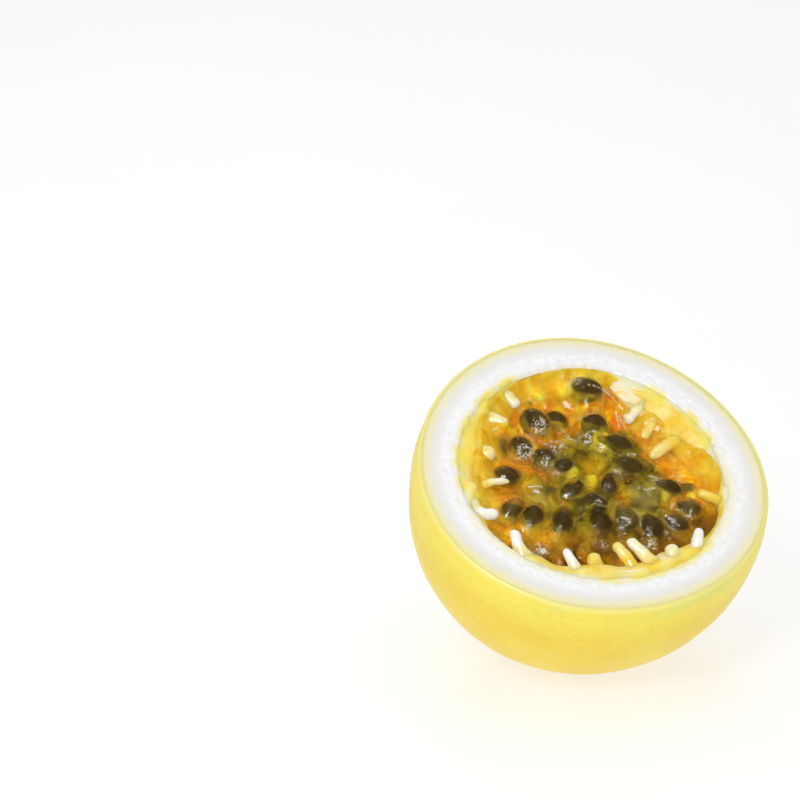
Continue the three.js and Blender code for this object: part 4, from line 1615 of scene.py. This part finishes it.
def add_surround(strength, mirrored):
    """A white world: bright to the camera, and dimmer to what it lights and to what mirrors it."""
    world = bpy.data.worlds.new("surround")
    world.use_nodes = True
    maker = NodeMaker(world.node_tree)
    background = maker.tree.nodes["Background"]
    background.inputs["Color"].default_value = (1, 1, 1, 1)
    path = maker.node("ShaderNodeLightPath").outputs
    mirror = maker.math("SUBTRACT", path["Is Glossy Ray"], path["Is Transmission Ray"], use_clamp=True)
    level = strength
    for share, brightness in ((mirror, mirrored), (path["Is Camera Ray"], SEEN_SURROUND)):
        values = {"Factor": share, "A": level, "B": brightness}
        level = maker.node("ShaderNodeMix", values).outputs["Result"]
    maker.join(level, background.inputs["Strength"])
    bpy.context.scene.world = world


def add_floor(radius):
    """A pale round floor that gives off a little light, so that shadows on it stay soft."""
    sides, just_under = 96, -0.0001
    rim = round_points(sides_of(sides)[0], radius, just_under)
    floor = new_object("floor", rim, [tuple(range(sides))])
    finish = Finish("floor")
    grey, paler = (0.37, 0.37, 0.37), (0.39, 0.39, 0.39)
    finish.drive("Base Color", finish.mix(finish.noise(60, 2), grey, paler))
    finish.set(roughness=0.6, emission_strength=0.63, emission_color=(1, 1, 1, 1))
    floor.data.materials.append(finish.material)


# ------------------------------------------------------------------- operators


class PieceOperator:
    """What the operators share: the fruit's form and its settings."""

    bl_options = {"REGISTER", "UNDO"}

    def settings(self, context):
        scene = context.scene
        return Fruit(scene.fruit_sizes), scene.fruit_sizes, scene.fruit_colours, scene.fruit_stage


class FRUIT_OT_peel(PieceOperator, bpy.types.Operator):
    """Make the yellow peel"""

    bl_idname = "fruit.peel"
    bl_label = "Peel"

    def execute(self, context):
        fruit, _, colours, stage = self.settings(context)
        make_peel(fruit, stage.detail // 2, colours)
        return {"FINISHED"}


class FRUIT_OT_pith(PieceOperator, bpy.types.Operator):
    """Make the white wall under the peel"""

    bl_idname = "fruit.pith"
    bl_label = "Pith"

    def execute(self, context):
        fruit, _, colours, stage = self.settings(context)
        make_pith(fruit, stage.detail, colours)
        return {"FINISHED"}


class FRUIT_OT_lining(PieceOperator, bpy.types.Operator):
    """Make the soft lining of the cavity"""

    bl_idname = "fruit.lining"
    bl_label = "Lining"

    def execute(self, context):
        fruit, _, colours, stage = self.settings(context)
        make_lining(fruit, stage.detail, colours)
        return {"FINISHED"}


class FRUIT_OT_stalks(PieceOperator, bpy.types.Operator):
    """Make the stubby seed stalks on the lining"""

    bl_idname = "fruit.stalks"
    bl_label = "Seed stalks"

    def execute(self, context):
        fruit, sizes, _, _ = self.settings(context)
        make_stalks(fruit, sizes)
        return {"FINISHED"}


class FRUIT_OT_bed(PieceOperator, bpy.types.Operator):
    """Make the thick juice under the jelly"""

    bl_idname = "fruit.bed"
    bl_label = "Pulp bed"

    def execute(self, context):
        fruit, _, colours, _ = self.settings(context)
        make_bed(fruit, colours)
        return {"FINISHED"}


class FRUIT_OT_seeds(PieceOperator, bpy.types.Operator):
    """Make the dark seeds"""

    bl_idname = "fruit.seeds"
    bl_label = "Seeds"

    def execute(self, context):
        fruit, _, colours, _ = self.settings(context)
        make_seeds(fruit, colours)
        return {"FINISHED"}


class FRUIT_OT_jelly(PieceOperator, bpy.types.Operator):
    """Make the clear sacs of juice over the seeds"""

    bl_idname = "fruit.jelly"
    bl_label = "Jelly"

    def execute(self, context):
        make_jelly(self.settings(context)[0])
        return {"FINISHED"}


class FRUIT_OT_stage(PieceOperator, bpy.types.Operator):
    """Set the camera, the floor and the lights"""

    bl_idname = "fruit.stage"
    bl_label = "Stage"

    def execute(self, context):
        fruit, _, _, stage = self.settings(context)
        add_camera(fruit, stage)
        add_surround(stage.surround, stage.mirrored)
        add_floor(stage.floor_radius)
        for lamp in LAMPS:
            add_lamp(*lamp)
        context.scene.view_settings.view_transform = "Standard"
        return {"FINISHED"}


class FRUIT_PT_panel(bpy.types.Panel):
    """Lists the pieces of the fruit and their settings"""

    bl_label = "Passion Fruit Half"
    bl_idname = "FRUIT_PT_panel"
    bl_space_type = "VIEW_3D"
    bl_region_type = "UI"
    bl_category = "Fruit"

    def draw(self, context):
        for operator in OPERATORS:
            self.layout.operator(operator.bl_idname)
        for group in (context.scene.fruit_sizes, context.scene.fruit_colours, context.scene.fruit_stage):
            box = self.layout.box()
            for name in group.__annotations__:
                box.prop(group, name)


OPERATORS = (
    FRUIT_OT_peel,
    FRUIT_OT_pith,
    FRUIT_OT_lining,
    FRUIT_OT_stalks,
    FRUIT_OT_bed,
    FRUIT_OT_seeds,
    FRUIT_OT_jelly,
    FRUIT_OT_stage,
)
GROUPS = {"fruit_sizes": FruitSizes, "fruit_colours": FruitColours, "fruit_stage": StageSettings}


def register():
    for kind in (*GROUPS.values(), *OPERATORS, FRUIT_PT_panel):
        bpy.utils.register_class(kind)
    for name, kind in GROUPS.items():
        setattr(bpy.types.Scene, name, PointerProperty(type=kind))


def unregister():
    for name in GROUPS:
        delattr(bpy.types.Scene, name)
    for kind in (FRUIT_PT_panel, *reversed(OPERATORS), *GROUPS.values()):
        bpy.utils.unregister_class(kind)


def main():
    register()
    bpy.ops.fruit.peel()
    bpy.ops.fruit.pith()
    bpy.ops.fruit.lining()
    bpy.ops.fruit.stalks()
    bpy.ops.fruit.bed()
    bpy.ops.fruit.seeds()
    bpy.ops.fruit.jelly()
    bpy.ops.fruit.stage()


if __name__ == "__main__":
    main()
